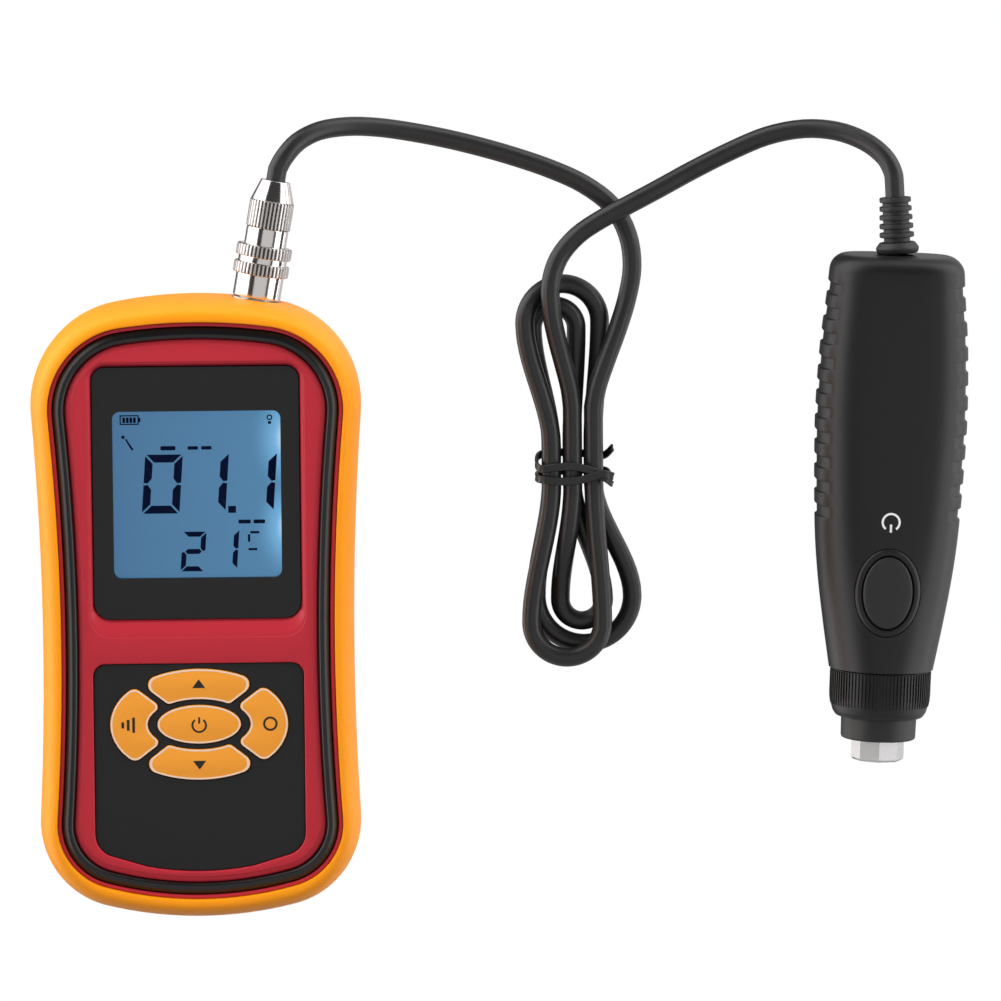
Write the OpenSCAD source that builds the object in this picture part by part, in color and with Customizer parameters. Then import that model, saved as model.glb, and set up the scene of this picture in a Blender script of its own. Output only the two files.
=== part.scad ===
/* [Meter outline] */
// Length of the meter in its rubber boot
meter_length = 161.6; // [158:0.5:175]
// Width across the upper end
meter_top_width = 85.6; // [83:0.2:92]
// Width across the lower end
meter_low_width = 83.4; // [82:0.2:90]
// How much the waist is drawn in on each side below the lower end
waist_draw = 1.3; // [0.6:0.1:2.5]
// Height of the meter lying on its back
meter_depth = 36; // [34:0.5:44]
// Radius of the arch across the top end
top_arch_r = 112; // [90:1:150]
// Radius of the arch across the bottom end
low_arch_r = 101; // [85:1:140]
// Radius of the two upper corners
top_corner_r = 26.4; // [22:0.2:30]
// Radius of the two lower corners
low_corner_r = 22.6; // [18:0.2:27]

/* [Rubber boot] */
// Thickness of the boot's side wall
boot_wall = 4; // [3:0.1:5]
// Thickness of the boot's back
boot_back = 2; // [1.5:0.1:3]
// Height of the boot's lip above the case's shoulder
boot_lip = 2.6; // [2:0.1:3.5]
// Width of the orange rim beside the face
rim_side = 4.7; // [4.4:0.1:6]
// Width of the orange rim at the two ends of the face
rim_end = 5.7; // [5:0.1:7]
// Margin of the boot's back window round the battery door
window_margin = 1.5; // [1:0.1:3]

/* [Case shells] */
// Wall of the plastic case
case_wall = 2; // [1.6:0.1:2.6]
// Thickness of the case's front wall
front_wall = 3; // [2.6:0.1:4]
// Height of the seam between the two case shells
seam_z = 11.5; // [9:0.5:12]
// Width of the black band round the face
band_w = 3.4; // [2.5:0.1:4]
// Red line left outside the band
band_margin = 1.1; // [0.8:0.1:1.6]
// How far the band's crown stands above the face
band_crown = 0.9; // [0.4:0.1:1.4]

/* [Display] */
// Red face left on each side between the band and the window
window_side = 5.5; // [5:0.1:8]
// Red face left between the upper end of the face and the window
window_end = 11.2; // [10:0.1:14]
// Length of the red bridge between the window and the keypad panel
bridge_l = 11.7; // [8:0.1:16]
// Thickness of the window
window_t = 1.6; // [1.2:0.1:2]
// Black frame of the window beside the seen part of the display
view_side = 4.85; // [4.4:0.05:8]
// Black frame of the window above and below the seen part of the display
view_end = 11; // [10:0.1:14]

/* [Keypad] */
// Red face left on each side between the band and the keypad panel
pad_side = 5.4; // [5:0.1:8]
// Length of the keypad panel at its middle
pad_l = 54.1; // [50:0.1:56]
// Red face left between the keypad panel and the lower end of the face
pad_end = 7.4; // [6.5:0.1:9]
// Thickness of the keypad panel
pad_t = 1.4; // [1:0.1:1.8]
// Panel left on each side of the oval that the five keys fill
keys_side = 4.1; // [3:0.1:6]
// Half height of the oval that the five keys fill
keys_b = 14.5; // [13.5:0.1:15.5]
// Width of a side key at its middle
side_key_w = 9.7; // [9:0.1:11]
// Half height of the middle key
key_b = 5.05; // [4.5:0.05:5.3]
// Travel of a key
key_travel = 0.5; // [0.3:0.05:0.6]

/* [Batteries] */
// Diameter of one cell
cell_d = 10.5; // [10:0.1:10.5]
// Length of one cell
cell_l = 44.5; // [44:0.1:44.5]
// Number of cells side by side
cells = 4; // [2:1:4]

/* [Signal plug] */
// Diameter of the jack's barrel
jack_d = 9.6; // [9:0.1:10]
// Height of the jack's axis above the back
jack_z = 19; // [18.5:0.1:20]
// Turn of the jack from the meter's long axis, in degrees
jack_turn = 10; // [5:0.5:12]
// Outer diameter of the coupling ring's grip
ring_d = 14.4; // [14:0.1:16]
// Outer diameter of the coupling ring's sleeve
sleeve_d = 12.4; // [12.2:0.1:13]
// Outer diameter of the clamp nut
clamp_d = 11.5; // [11:0.1:13]

/* [Probe] */
// Length of the probe's moulded grip
grip_l = 108.2; // [105:0.5:116]
// Greatest width of the grip over its ribs
grip_w = 39.5; // [37.5:0.1:42]
// Greatest height of the grip
grip_h = 31.2; // [30.5:0.1:33]
// Wall of the grip shells
grip_wall = 2; // [1.8:0.1:2.4]
// Height of one grip rib
rib_h = 0.65; // [0.4:0.05:1.2]
// Number of grip ribs on each side
ribs = 9; // [5:1:9]
// Spacing of the grip ribs
rib_pitch = 6.45; // [5.5:0.05:6.5]
// Diameter of the turning collar
collar_d = 26.8; // [26.4:0.1:28]
// Length of the turning collar
collar_l = 12.6; // [12:0.1:14]
// Diameter of the rubber nose
nose_d = 19.8; // [19:0.1:20.4]
// Length of the nose in front of the collar
nose_l = 5.7; // [5:0.1:8]
// Width of the steel tip across its corners
tip_d = 13.8; // [12:0.1:14]
// Length of the tip in front of the nose
tip_l = 5.7; // [4:0.1:8]
// Travel of the probe's button
button_travel = 0.8; // [0.5:0.1:1]

/* [Cord] */
// Diameter of the cord
cord_d = 5; // [4.8:0.1:5]

/* [Hidden] */
$fn = 48;

// Overrun of every cut past the face that it opens
cut = 1;
// Gap between fixed pieces that slip into each other
fit = 0.15;
// Radial running gap of turning and sliding pieces
run = 0.08;

// Half sizes and outlines of the meter
half_l = meter_length / 2;
half_w = min(meter_top_width, meter_low_width) / 2;
// Half width and drop of the roll along the boot's front and back edges
boot_roll = 5;
boot_foot = 4.4;
// Height at which the boot is widest
belly_z = meter_depth * 0.6;
// Case shoulder under the boot's lip, and the face above it
shoulder_z = meter_depth - boot_lip - 0.4 * boot_lip;
face_z = meter_depth - 0.55 * boot_lip;
wall_z = face_z - front_wall;
case_inset = boot_wall + fit;

// Extra draw of the face's waist
face_draw = 0.4;
// Outline numbers: half widths top and low, waist draw, ends, arch radii, corner radii
boot_shape = [meter_top_width / 2, meter_low_width / 2, waist_draw, half_l, -half_l,
  top_arch_r, low_arch_r, top_corner_r, low_corner_r];
face_shape = [meter_top_width / 2 - rim_side, meter_low_width / 2 - rim_side, waist_draw + face_draw,
  half_l - rim_end, -half_l + rim_end, top_arch_r * 1.25, low_arch_r - rim_end * 1.5,
  top_corner_r - rim_side, low_corner_r - rim_end];

// Points on each arch half, corner and side of an outline
arch_n = 5;
corner_n = 8;
side_n = 6;

// Display and keypad places, from the face's ends and sides inward
window_w = 2 * (half_w - rim_side - band_margin - band_w - window_side);
window_l = 2 * (half_l - rim_end) - window_end - bridge_l - pad_l - pad_end;
window_y = half_l - rim_end - window_end - window_l / 2;
view_w = window_w - 2 * view_side;
view_l = window_l - 2 * view_end;
window_deep = 2.4;
window_seat = face_z - window_deep;
window_top_r = 2.8;
window_low_r = 4.4;
view_drop = 0.3;
view_y = window_y - view_drop;
view_r = 2;
lcd_margin = 2.6;
lcd_t = 2.2;
holder_wall = 1.6;
board_t = 1.6;
pad_w = 2 * (half_w - rim_side - band_margin - band_w - pad_side);
pad_top = pad_end + pad_l + rim_end - half_l;
pad_deep = 2.1;
pad_seat = face_z - pad_deep;
pad_corner_r = 3.2;
pad_low_r = 6;
pad_arch_r = 72;
keys_top = 1.3;
keys_a = pad_w / 2 - keys_side;
keys_y = pad_top - keys_top - keys_b;
// Half gap between neighbouring keys, and the gap round the middle key
key_gap = 0.8;
inner_gap_a = 2.5;
inner_gap_b = 1.5;
key_a = keys_a - side_key_w - inner_gap_a;
key_corner = 1.3;
key_clear = 0.2;
key_flange = 0.35;
key_flange_t = 1.1;
key_proud = 0.45;
// Slope of the gaps between the keys, and a point on a gap's line in shares of the middle key
key_slope = 37.3;
gap_shares = [0.875, 1.0693];
gap_point = [gap_shares[0] * key_a, gap_shares[1] * key_b];

// Main board
board_z = wall_z - lcd_t * 2 - board_t;
board_top = board_z + board_t;
board_side = 3.25;
board_end_high = 22.8;
board_end_low = 20.8;
board_w = 2 * (half_w - waist_draw - case_inset - case_wall - board_side);
board_high = half_l - board_end_high;
board_low = board_end_low - half_l;
boss_r = 3.6;
board_boss_r = 2.6;
dome_h = 0.35;

// Battery bay
cell_gap = 0.4;
cell_pitch = cell_d + cell_gap;
bay_slack = 0.6;
bay_w = cells * cell_pitch + bay_slack;
spring_l = 4;
bay_play = 1;
bay_l = cell_l + spring_l + bay_play;
bay_end = 13.05;
bay_y = bay_end + bay_l / 2 - half_l;
bay_wall = 1.2;
bay_floor = boot_back + case_wall;
cell_z = bay_floor + cell_gap + cell_d / 2;
cell_top_gap = 0.5;
bay_top = cell_z + cell_d / 2 + cell_top_gap;
door_t = 1.2;
door_ledge = 1.6;
door_w = bay_w + 2 * door_ledge;
door_low = bay_y - bay_l / 2 - door_ledge;
bay_to_screw = 4;
screw_to_edge = 3.6;
door_screw_y = bay_y + bay_l / 2 + bay_to_screw;
door_high = door_screw_y + screw_to_edge;
door_r = 3;
contact_t = 0.4;

// Screws: radii, head, and how far they reach into what they hold
screw_r = 1.25;
case_screw_l = 7;
board_screw_in_l = 2;
probe_screw_l = 7;
head_sink = 4;
screw_past = 0.5;
head_r = 2.3;
head_h = 1.6;
socket_r = 1;
// Places of the case's screws, from the case's side and the meter's ends
boss_edge = 0.5;
screw_top_x = meter_top_width / 2 - case_inset - boss_r - boss_edge;
screw_low_x = meter_low_width / 2 - case_inset - boss_r - boss_edge;
screw_end_high = 34.8;
screw_end_low = 28.8;
screw_top_y = half_l - screw_end_high;
screw_low_y = screw_end_low - half_l;
case_screw_spots = [[screw_top_x, screw_top_y], [-screw_top_x, screw_top_y],
  [screw_low_x, screw_low_y], [-screw_low_x, screw_low_y]];
// Places of the board's screws, from its sides, its low end and the keys
board_screw_in = 6;
board_screw_up = 4;
board_screw_x = board_w / 2 - board_screw_in;
board_screw_high = keys_y + keys_b * 0.65;
board_screw_low = board_low + board_screw_up;
board_screw_spots = [[board_screw_x, board_screw_high], [-board_screw_x, board_screw_high],
  [board_screw_x, board_screw_low], [-board_screw_x, board_screw_low]];

// Jack and plug, along their own axis from the boot's outer face
jack_x = 15.9;
jack_y = half_l - top_arch_r + sqrt(pow(top_arch_r, 2) - pow(jack_x, 2));
jack_r = jack_d / 2;
jack_flange_r = 6.4;
jack_deep = 0.5;
jack_seat = -boot_wall - jack_deep;
jack_wall = 1.8;
jack_front = 9.4;
jack_back = -15;
barrel_wall = 0.7;
jack_bore_r = jack_r - barrel_wall;
stud_r = 0.9;
stud_reach = 0.7;
stud_at = 6.6;
pin_r = 0.7;
ring_from = 0.3;
grip_from = 6.3;
ring_to = 14;
neck_to = 18.4;
nut_to = 25.8;
plug_to = 31;
neck_r = 5.45;
cone_end_r = 3.75;
cord_r = cord_d / 2;

// Probe: place of the tip's end, turn from the meter's axis and height of the axis
probe_x = 176.8;
probe_y = -43.3;
probe_turn = 2.5;
// How far the strain relief leans back from the grip's axis, in degrees
relief_lean = 5;
relief_len = 15;
// How deep the cord's ends sit in the two glands
tuck = 2;
probe_z = grip_h / 2;
nose_from = tip_l;
collar_from = nose_from + nose_l;
collar_gap = 0.3;
grip_from_y = collar_from + collar_l + collar_gap;
grip_to_y = grip_from_y + grip_l;
collar_r = collar_d / 2;
tube_r = 11.2;
tube_bore_r = 9.1;
tube_neck_r = 10.3;
neck_bore_r = tube_neck_r + fit;
// Grip half width and half height at shares of the grip's length
grip_w_shares = [[0, 0.69], [0.05, 0.738], [0.1, 0.785], [0.2, 0.87], [0.3, 0.932], [0.4, 0.966],
  [0.5, 0.987], [0.6, 1], [0.7, 0.99], [0.8, 0.963], [0.9, 0.91], [0.96, 0.885], [1, 0.87]];
grip_h_shares = [[0, 0.857], [0.1, 0.885], [0.25, 0.935], [0.4, 0.975], [0.6, 1], [0.8, 0.985],
  [0.93, 0.93], [1, 0.87]];
grip_power_shares = [[0, 2], [0.15, 2.2], [0.4, 2.7], [0.7, 3], [1, 3.2]];
grip_end_r = 4.2;
grip_half_n = 12;
rib_w = 3.1;
rib_ramp = 0.4;
// Middle of the last rib in front of the grip's rear end, and of the first rib behind its front
rib_end = 12;
first_rib = grip_l - rib_end - (ribs - 1) * rib_pitch;
relief_bore = 4.3;
// Middle of the button behind the grip's front
button_from = 21.3;
button_y = grip_from_y + button_from;
button_a = 6.5;
button_b = 9.5;
bezel_w = 2.1;
bezel_gap = 0.25;
bezel_flange = 1.4;
bezel_flange_t = 1;
bezel_foot = 10.2;
button_z = probe_z + bezel_foot;
switch_h = 4.2;
probe_board_w = 17;
// Board from in front of the button's middle to a place in front of the grip's rear end
probe_board_front = 8.6;
probe_board_end = 25.5;
probe_board_l = grip_to_y - probe_board_end - button_y + probe_board_front;
probe_board_y = button_y - probe_board_front + probe_board_l / 2;
probe_board_up = 2.2;
probe_board_z = probe_z + probe_board_up;
// Screws behind the bezel and in front of the rear end
bezel_to_screw = 5.2;
screw_to_end = 16.5;
probe_screw_spots = [[0, button_y + button_b + bezel_w + bezel_to_screw + boss_r], [0, grip_to_y - screw_to_end]];

// Sensor: where its base starts, how deep the tip's stud enters it, and its pieces
sensor_from = 16;
tip_inside = 3;
shank_r = 3;
base_t = 4;
post_r = 1.5;
stack_r = 6;
stack_t = 2.4;
mass_r = 7;
mass_t = 8;

// Cord route, in real places: x, y and z of chosen points
tie_x = 97.9;
tie_y = 34.5;
lay_z = 2.5;
meter_run_points = [[23.7, 116.4, 18.4], [27.3, 120.1, 16.2], [32.8, 122.6, 13], [40, 123.4, 9.4],
  [48, 122.9, 6.4], [57, 121.4, 4], [66, 119.5, 2.8], [75, 117.2, 2.5], [84, 114.5, 2.5],
  [93, 111.3, 2.5], [101.5, 107.3, 2.5], [108.8, 101.6, 2.5], [112.9, 94, 2.5], [114, 85.6, 2.7],
  [112.5, 77.2, 4], [109.8, 69.2, 6.6], [106.9, 61.8, 8.5], [104.5, 55, 9.1]];
probe_run_points = [[97.3, 54.5, 9.3], [95.7, 61, 9.6], [93.9, 68, 10], [92.6, 75, 10.8],
  [92.5, 82, 10.5], [94.7, 88.6, 9.1], [99.4, 94.2, 8.6], [105.6, 98.4, 8.4], [112.6, 102, 8],
  [120.6, 106, 6.2], [130, 110.8, 3.6], [140, 115.6, 2.5], [149.6, 119.5, 2.6], [159, 121.3, 4],
  [167.4, 120.8, 6.8], [174.4, 118.3, 10.2], [179.2, 114.6, 13.2], [181.4, 110.6, 15.1]];
// Straight start of a run past a gland
straight = 3;
hank_start = 10;

// Hank: strand columns and layers at the tie, and each lobe's sides, end and heights
strand_step = 5.5;
tie_lift = 1.2;
low_z = lay_z;
high_z = lay_z + strand_step;
tie_low = low_z + tie_lift;
tie_high = tie_low + strand_step;
waist_half = 5;
// Lobes in order: side it starts on, side it ends on, end, start column, end column,
// tie height before, lobe height before, lobe height after, tie height after
lobes = [
  [7.6, -11, -51, 1, -1, tie_high, high_z, high_z, tie_high],
  [-12.2, 7.5, 46.8, -1, 1, tie_high, high_z, low_z, tie_low],
  [15.6, -9.6, -48, 1, -1, tie_low, low_z, low_z, tie_low],
  [-10.1, 1.4, 41, -1, 0, tie_low, low_z, low_z, tie_low],
  [8.1, -3.3, -42, 0, 0, tie_low, low_z, low_z, tie_high]];
leg_n = 6;
turn_n = 12;
tie_w = 2.2;
tie_t = 0.9;
tie_gap = 0.1;

function sum(v, i = 0) = i >= len(v) ? 0 : v[i] + sum(v, i + 1);
function flip(v) = [for (i = [len(v) - 1:-1:0]) v[i]];
function middle(ring) = [for (k = [0:2]) sum([for (p = ring) p[k]]) / len(ring)];
function lift(pts, z) = [for (p = pts) [p[0], p[1], z]];
function smooth(t) = t * t * (3 - 2 * t);
function arc(c, r, a, b, n) = [for (i = [0:n - 1]) let (t = a + (b - a) * i / n) c + r * [cos(t), sin(t)]];
function toward(v) = atan2(v[1], v[0]);

// Centre and radius of the side arc that touches both corners from outside
function side_arc(w, top, rt, low, rl) =
  let (dt = w - top[0], dl = w - low[0], et = rt - dt, el = rl - dl,
    a = el - et, b = 2 * (et * low[1] - el * top[1]),
    c = el * (dt * dt - rt * rt + top[1] * top[1]) - et * (dl * dl - rl * rl + low[1] * low[1]),
    q = (abs(b) + sqrt(b * b - 4 * a * c)) / 2, y = -sign(b) * c / q,
    r = (dt * dt - rt * rt + pow(y - top[1], 2)) / (2 * et))
  [w + r, y, r];

// Closed outline of touching arcs, drawn in by an inset, from the low end up the right side
function outline(s, inset) =
  let (wt = s[0], wl = s[1], w = min(wt, wl) - s[2],
    tc = [0, s[3] - s[5]], lc = [0, s[4] + s[6]],
    top = [wt - s[7], tc[1] + sqrt(pow(s[5] - s[7], 2) - pow(wt - s[7], 2))],
    low = [wl - s[8], lc[1] - sqrt(pow(s[6] - s[8], 2) - pow(wl - s[8], 2))],
    side = side_arc(w, top, s[7], low, s[8]), sc = [side[0], side[1]],
    a1 = toward(low - lc), a2 = toward(sc - low), a3 = toward(sc - top), a4 = toward(top - tc),
    half = concat(arc(lc, s[6] - inset, -90, a1, arch_n), arc(low, s[8] - inset, a1, a2, corner_n),
      arc(sc, side[2] + inset, 180 + a2, 180 + a3, side_n),
      arc(top, s[7] - inset, a3, a4, corner_n), arc(tc, s[5] - inset, a4, 90, arch_n)),
    other = [for (i = [len(half) - 1:-1:1]) [-half[i][0], half[i][1]]])
  concat(half, [[0, s[3] - inset]], other);

// Polygon with rounded corners; each corner is x, y and its radius
function rounded(c, n = 5) = [for (i = [0:len(c) - 1])
  let (m = len(c), p = [c[i][0], c[i][1]], a = c[(i + m - 1) % m], b = c[(i + 1) % m],
    u = ([a[0], a[1]] - p) / norm([a[0], a[1]] - p), v = ([b[0], b[1]] - p) / norm([b[0], b[1]] - p),
    half = acos(max(-1, min(1, u * v))) / 2, r = c[i][2])
  each r == 0 ? [p] :
    let (q = p + (u + v) / norm(u + v) * r / sin(half), turn = 90 - half,
      mid = toward(p - q), way = sign(u[0] * v[1] - u[1] * v[0]))
    [for (k = [0:n]) let (t = mid + way * turn * (1 - 2 * k / n)) q + r * [cos(t), sin(t)]]];

function box_outline(w, l, r) =
  [[w / 2, -l / 2, r], [w / 2, l / 2, r], [-w / 2, l / 2, r], [-w / 2, -l / 2, r]];

module prism(pts, low, high) {
  translate([0, 0, low]) linear_extrude(high - low) polygon(pts);
}

module rounded_box(w, l, r, low, high) {
  prism(rounded(box_outline(w, l, r)), low, high);
}

// Solid through rings of equal count, each end closed by a fan to its middle
module loft(rings) {
  m = len(rings);
  n = len(rings[0]);
  points = concat([for (ring = rings) each ring], [middle(rings[0]), middle(rings[m - 1])]);
  sides = [for (i = [0:m - 2]) for (j = [0:n - 1])
    let (a = i * n + j, b = i * n + (j + 1) % n) each [[a, a + n, b + n], [a, b + n, b]]];
  ends = [for (j = [0:n - 1]) let (k = (j + 1) % n)
    each [[m * n, j, k], [m * n + 1, (m - 1) * n + k, (m - 1) * n + j]]];
  polyhedron(points, concat(sides, ends));
}

// Closed band: every ring is joined to the next and the last to the first
module loop_loft(rings) {
  m = len(rings);
  n = len(rings[0]);
  polyhedron([for (ring = rings) each ring], [for (i = [0:m - 1]) for (j = [0:n - 1])
    let (k = (i + 1) % m, a = i * n + j, b = i * n + (j + 1) % n, c = k * n + j,
      d = k * n + (j + 1) % n) each [[a, c, d], [a, d, b]]]);
}

module jack_axis() {
  translate([jack_x, jack_y, jack_z]) rotate([0, 0, -jack_turn]) rotate([-90, 0, 0]) children();
}

module probe_place() {
  translate([probe_x, probe_y, 0]) rotate([0, 0, -probe_turn]) children();
}

module probe_axis() {
  probe_place() translate([0, 0, probe_z]) rotate([-90, 0, 0]) children();
}

module ring(outer, inner, low, high) {
  translate([0, 0, low]) difference() {
    cylinder(r = outer, h = high - low);
    translate([0, 0, -cut]) cylinder(r = inner, h = high - low + 2 * cut);
  }
}

// Row of small lengthwise cuts round a knurled ring
module knurl_cuts(r, count, depth, low, high) {
  for (i = [0:count - 1]) rotate([0, 0, i * 360 / count])
    translate([r, 0, low]) rotate([0, 0, 45])
      translate([-depth / 2, -depth / 2, 0]) cube([depth, depth, high - low + cut]);
}

// Screw with its head at the low end, pointing up
module screw(length, low) {
  translate([0, 0, low]) difference() {
    union() {
      cylinder(r = head_r, h = head_h);
      cylinder(r = screw_r, h = length);
    }
    translate([0, 0, -cut]) cylinder(r = socket_r, h = cut + head_h / 2, $fn = 6);
  }
}

// Boot profile: inset at a share of the way from the foot to the belly, and on to the crest
function foot_inset(t) = boot_foot * (1 - pow(cos(90 * t), 0.45));
function crest_inset(t) = boot_roll * (1 - pow(cos(90 * t), 0.8));

module boot_skin() {
  steps = [1, 0.985, 0.95, 0.88, 0.7, 0.4];
  tops = [0, 0.3, 0.5, 0.68, 0.82, 0.93, 1];
  loft(concat([lift(outline(boot_shape, boot_foot), -cut)],
    [for (t = steps) lift(outline(boot_shape, foot_inset(t)), belly_z * (1 - sin(90 * t)))],
    [for (t = tops) lift(outline(boot_shape, crest_inset(t)),
      belly_z + (meter_depth - belly_z) * pow(sin(90 * t), 0.8))]));
}

module boot() {
  color("orange") difference() {
    boot_skin();
    translate([-meter_length, -meter_length, -2 * cut]) cube([2 * meter_length, 2 * meter_length, 2 * cut]);
    prism(outline(boot_shape, boot_wall), boot_back, shoulder_z);
    prism(outline(face_shape, 0), shoulder_z - cut, meter_depth + cut);
    translate([0, (door_low + door_high) / 2, 0]) rounded_box(door_w + 2 * window_margin,
      door_high - door_low + 2 * window_margin, door_r + window_margin, -cut, boot_back + cut);
    jack_axis() translate([0, 0, -boot_wall - cut]) cylinder(r = jack_flange_r + fit, h = boot_wall + 3 * cut);
  }
}

function window_points(grow, down = 0) =
  let (w = window_w / 2 + grow, hi = window_y + window_l / 2 + grow, lo = window_y - window_l / 2 - grow - down)
  rounded([[w, lo, window_low_r + grow], [w, hi, window_top_r + grow],
    [-w, hi, window_top_r + grow], [-w, lo, window_low_r + grow]], 6);

// Keypad panel: straight sides, rounded corners and an arched lower edge
function pad_points(grow) =
  let (w = pad_w / 2, end = pad_top - pad_l, side_y = end + pad_arch_r - sqrt(pow(pad_arch_r, 2) - w * w),
    a = asin(w / pad_arch_r), r = pad_arch_r + grow, cy = end + pad_arch_r)
  rounded(concat([[w + grow, side_y - 0.3 * grow, pad_low_r]], [[w + grow, pad_top + grow, pad_corner_r]],
    [[-w - grow, pad_top + grow, pad_corner_r]], [[-w - grow, side_y - 0.3 * grow, pad_low_r]],
    [for (k = [-2:2]) [r * sin(k * a / 4), cy - r * cos(k * a / 4), 0]]));

function ellipse(a, b, n = 40) = [for (i = [0:n - 1]) [a * cos(360 * i / n), b * sin(360 * i / n)]];

// Where a line from p along u leaves an ellipse
function meet(p, u, a, b) =
  let (k = pow(u[0] / a, 2) + pow(u[1] / b, 2), m = p[0] * u[0] / (a * a) + p[1] * u[1] / (b * b),
    c = pow(p[0] / a, 2) + pow(p[1] / b, 2) - 1)
  p + u * (-m + sqrt(m * m - k * c)) / k;

// Outline of an outer key, grown by g: the top key, or the right one with upright = false
function key_points(g, upright) =
  let (u = [cos(key_slope), sin(key_slope)], n = [-u[1], u[0]] * (upright ? 1 : -1),
    p = gap_point + n * (key_gap - g), ao = keys_a + g, bo = keys_b + g,
    ai = key_a + inner_gap_a - g, bi = key_b + inner_gap_b - g,
    outer = meet(p, u, ao, bo), inner = meet(p - key_b * u, u, ai, bi),
    eo = atan2(outer[1] / bo, outer[0] / ao), ei = atan2(inner[1] / bi, inner[0] / ai),
    so = upright ? 180 - eo : -eo, si = upright ? 180 - ei : -ei, r = key_corner + g / 2,
    share = 0.18, n_arc = 6)
  rounded(concat([[inner[0], inner[1], r / 2], [outer[0], outer[1], r]],
    [for (i = [0:n_arc]) let (t = eo + (so - eo) * (share + (1 - 2 * share) * i / n_arc))
      [ao * cos(t), bo * sin(t), 0]],
    [[ao * cos(so), bo * sin(so), r], [ai * cos(si), bi * sin(si), r / 2]],
    [for (i = [0:n_arc]) let (t = si + (ei - si) * (share + (1 - 2 * share) * i / n_arc))
      [ai * cos(t), bi * sin(t), 0]]));

module key_shape(which, g) {
  translate([0, keys_y]) {
    if (which == 0) polygon(ellipse(key_a + g, key_b + g));
    if (which == 1) polygon(key_points(g, true));
    if (which == 2) mirror([0, 1]) polygon(key_points(g, true));
    if (which == 3) polygon(key_points(g, false));
    if (which == 4) mirror([1, 0]) polygon(key_points(g, false));
  }
}
// Middle of each key, in the order of key_shape
key_mid = [[0, 0], [0, (keys_b + key_b + inner_gap_b) / 2], [0, -(keys_b + key_b + inner_gap_b) / 2],
  [(keys_a + key_a + inner_gap_a) / 2, 0], [-(keys_a + key_a + inner_gap_a) / 2, 0]];

module key(which) {
  stem_r = 2;
  color("orange") union() {
    translate([0, 0, wall_z - fit]) linear_extrude(pad_seat + pad_t + key_proud - wall_z + fit)
      key_shape(which, 0);
    translate([0, 0, wall_z - fit - key_flange_t]) linear_extrude(key_flange_t)
      key_shape(which, key_clear + key_flange);
    translate([key_mid[which][0], keys_y + key_mid[which][1], board_top + dome_h + key_travel + run])
      cylinder(r = stem_r, h = wall_z - key_flange_t - fit - board_top - dome_h - key_travel - run);
  }
}
module key_centre() { key(0); }
module key_top() { key(1); }
module key_bottom() { key(2); }
module key_right() { key(3); }
module key_left() { key(4); }

module key_domes() {
  dome_r = 2.5;
  color("silver") for (m = key_mid) translate([m[0], keys_y + m[1], board_top])
    cylinder(r1 = dome_r, r2 = dome_r * 0.6, h = dome_h);
}

module front_case() {
  recess_down = 3.4;
  recess_side = 1;
  color("firebrick") difference() {
    union() {
      difference() {
        union() {
          prism(outline(boot_shape, case_inset), seam_z, shoulder_z);
          prism(outline(face_shape, fit), shoulder_z - cut, face_z);
        }
        prism(outline(boot_shape, case_inset + case_wall), seam_z - cut, wall_z);
      }
      for (s = case_screw_spots) translate([s[0], s[1], seam_z]) cylinder(r = boss_r, h = wall_z - seam_z + fit);
      for (s = board_screw_spots) translate([s[0], s[1], board_top])
        cylinder(r = board_boss_r, h = wall_z - board_top + fit);
    }
    difference() {
      prism(outline(face_shape, band_margin), face_z - band_w / 2, face_z + cut);
      prism(outline(face_shape, band_margin + band_w), face_z - band_w / 2 - cut, face_z + 2 * cut);
    }
    prism(window_points(fit), window_seat, face_z + cut);
    loft([lift(window_points(fit), window_seat + window_t / 2), lift(window_points(fit), window_seat + window_t * 0.6),
      lift(window_points(recess_side, recess_down), face_z), lift(window_points(recess_side, recess_down), face_z + cut)]);
    translate([0, view_y, 0]) rounded_box(view_w + fit, view_l + fit, view_r, wall_z - cut, face_z);
    prism(pad_points(fit), pad_seat, face_z + cut);
    for (k = [0:4]) translate([0, 0, wall_z - cut]) linear_extrude(face_z - wall_z + 2 * cut) key_shape(k, key_clear);
    for (s = case_screw_spots) translate([s[0], s[1], seam_z - cut])
      cylinder(r = screw_r + run, h = case_screw_l + screw_past);
    for (s = board_screw_spots) translate([s[0], s[1], board_top - cut])
      cylinder(r = screw_r + run, h = board_screw_in_l + screw_past + cut);
    jack_axis() jack_seats();
  }
}

// Flats and bore that the jack needs in the case's end wall
module jack_seats() {
  translate([0, 0, jack_seat]) cylinder(r = jack_flange_r + fit, h = boot_wall);
  translate([0, 0, jack_seat - jack_wall - 4 * cut]) cylinder(r = jack_r + run, h = boot_wall + 5 * cut);
  translate([0, 0, jack_seat - jack_wall - 5 * cut]) cylinder(r = jack_flange_r + fit, h = 5 * cut);
}

// Domed band in its groove round the face
module face_band() {
  w = band_w - 2 * fit;
  low = face_z - band_w / 2;
  // Shares of the band's width and of its height over the groove's floor
  profile_shares = [[0, 0], [0, 0.5], [0.12, 0.85], [0.35, 1], [0.65, 1], [0.88, 0.85], [1, 0.5], [1, 0]];
  high = band_w / 2 + band_crown;
  rings = [for (p = profile_shares) lift(outline(face_shape, band_margin + fit + w * p[0]), low + high * p[1])];
  n = len(rings[0]);
  color("dimgray") loop_loft(flip([for (j = [0:n - 1]) [for (ring = rings) ring[j]]]));
}

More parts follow.
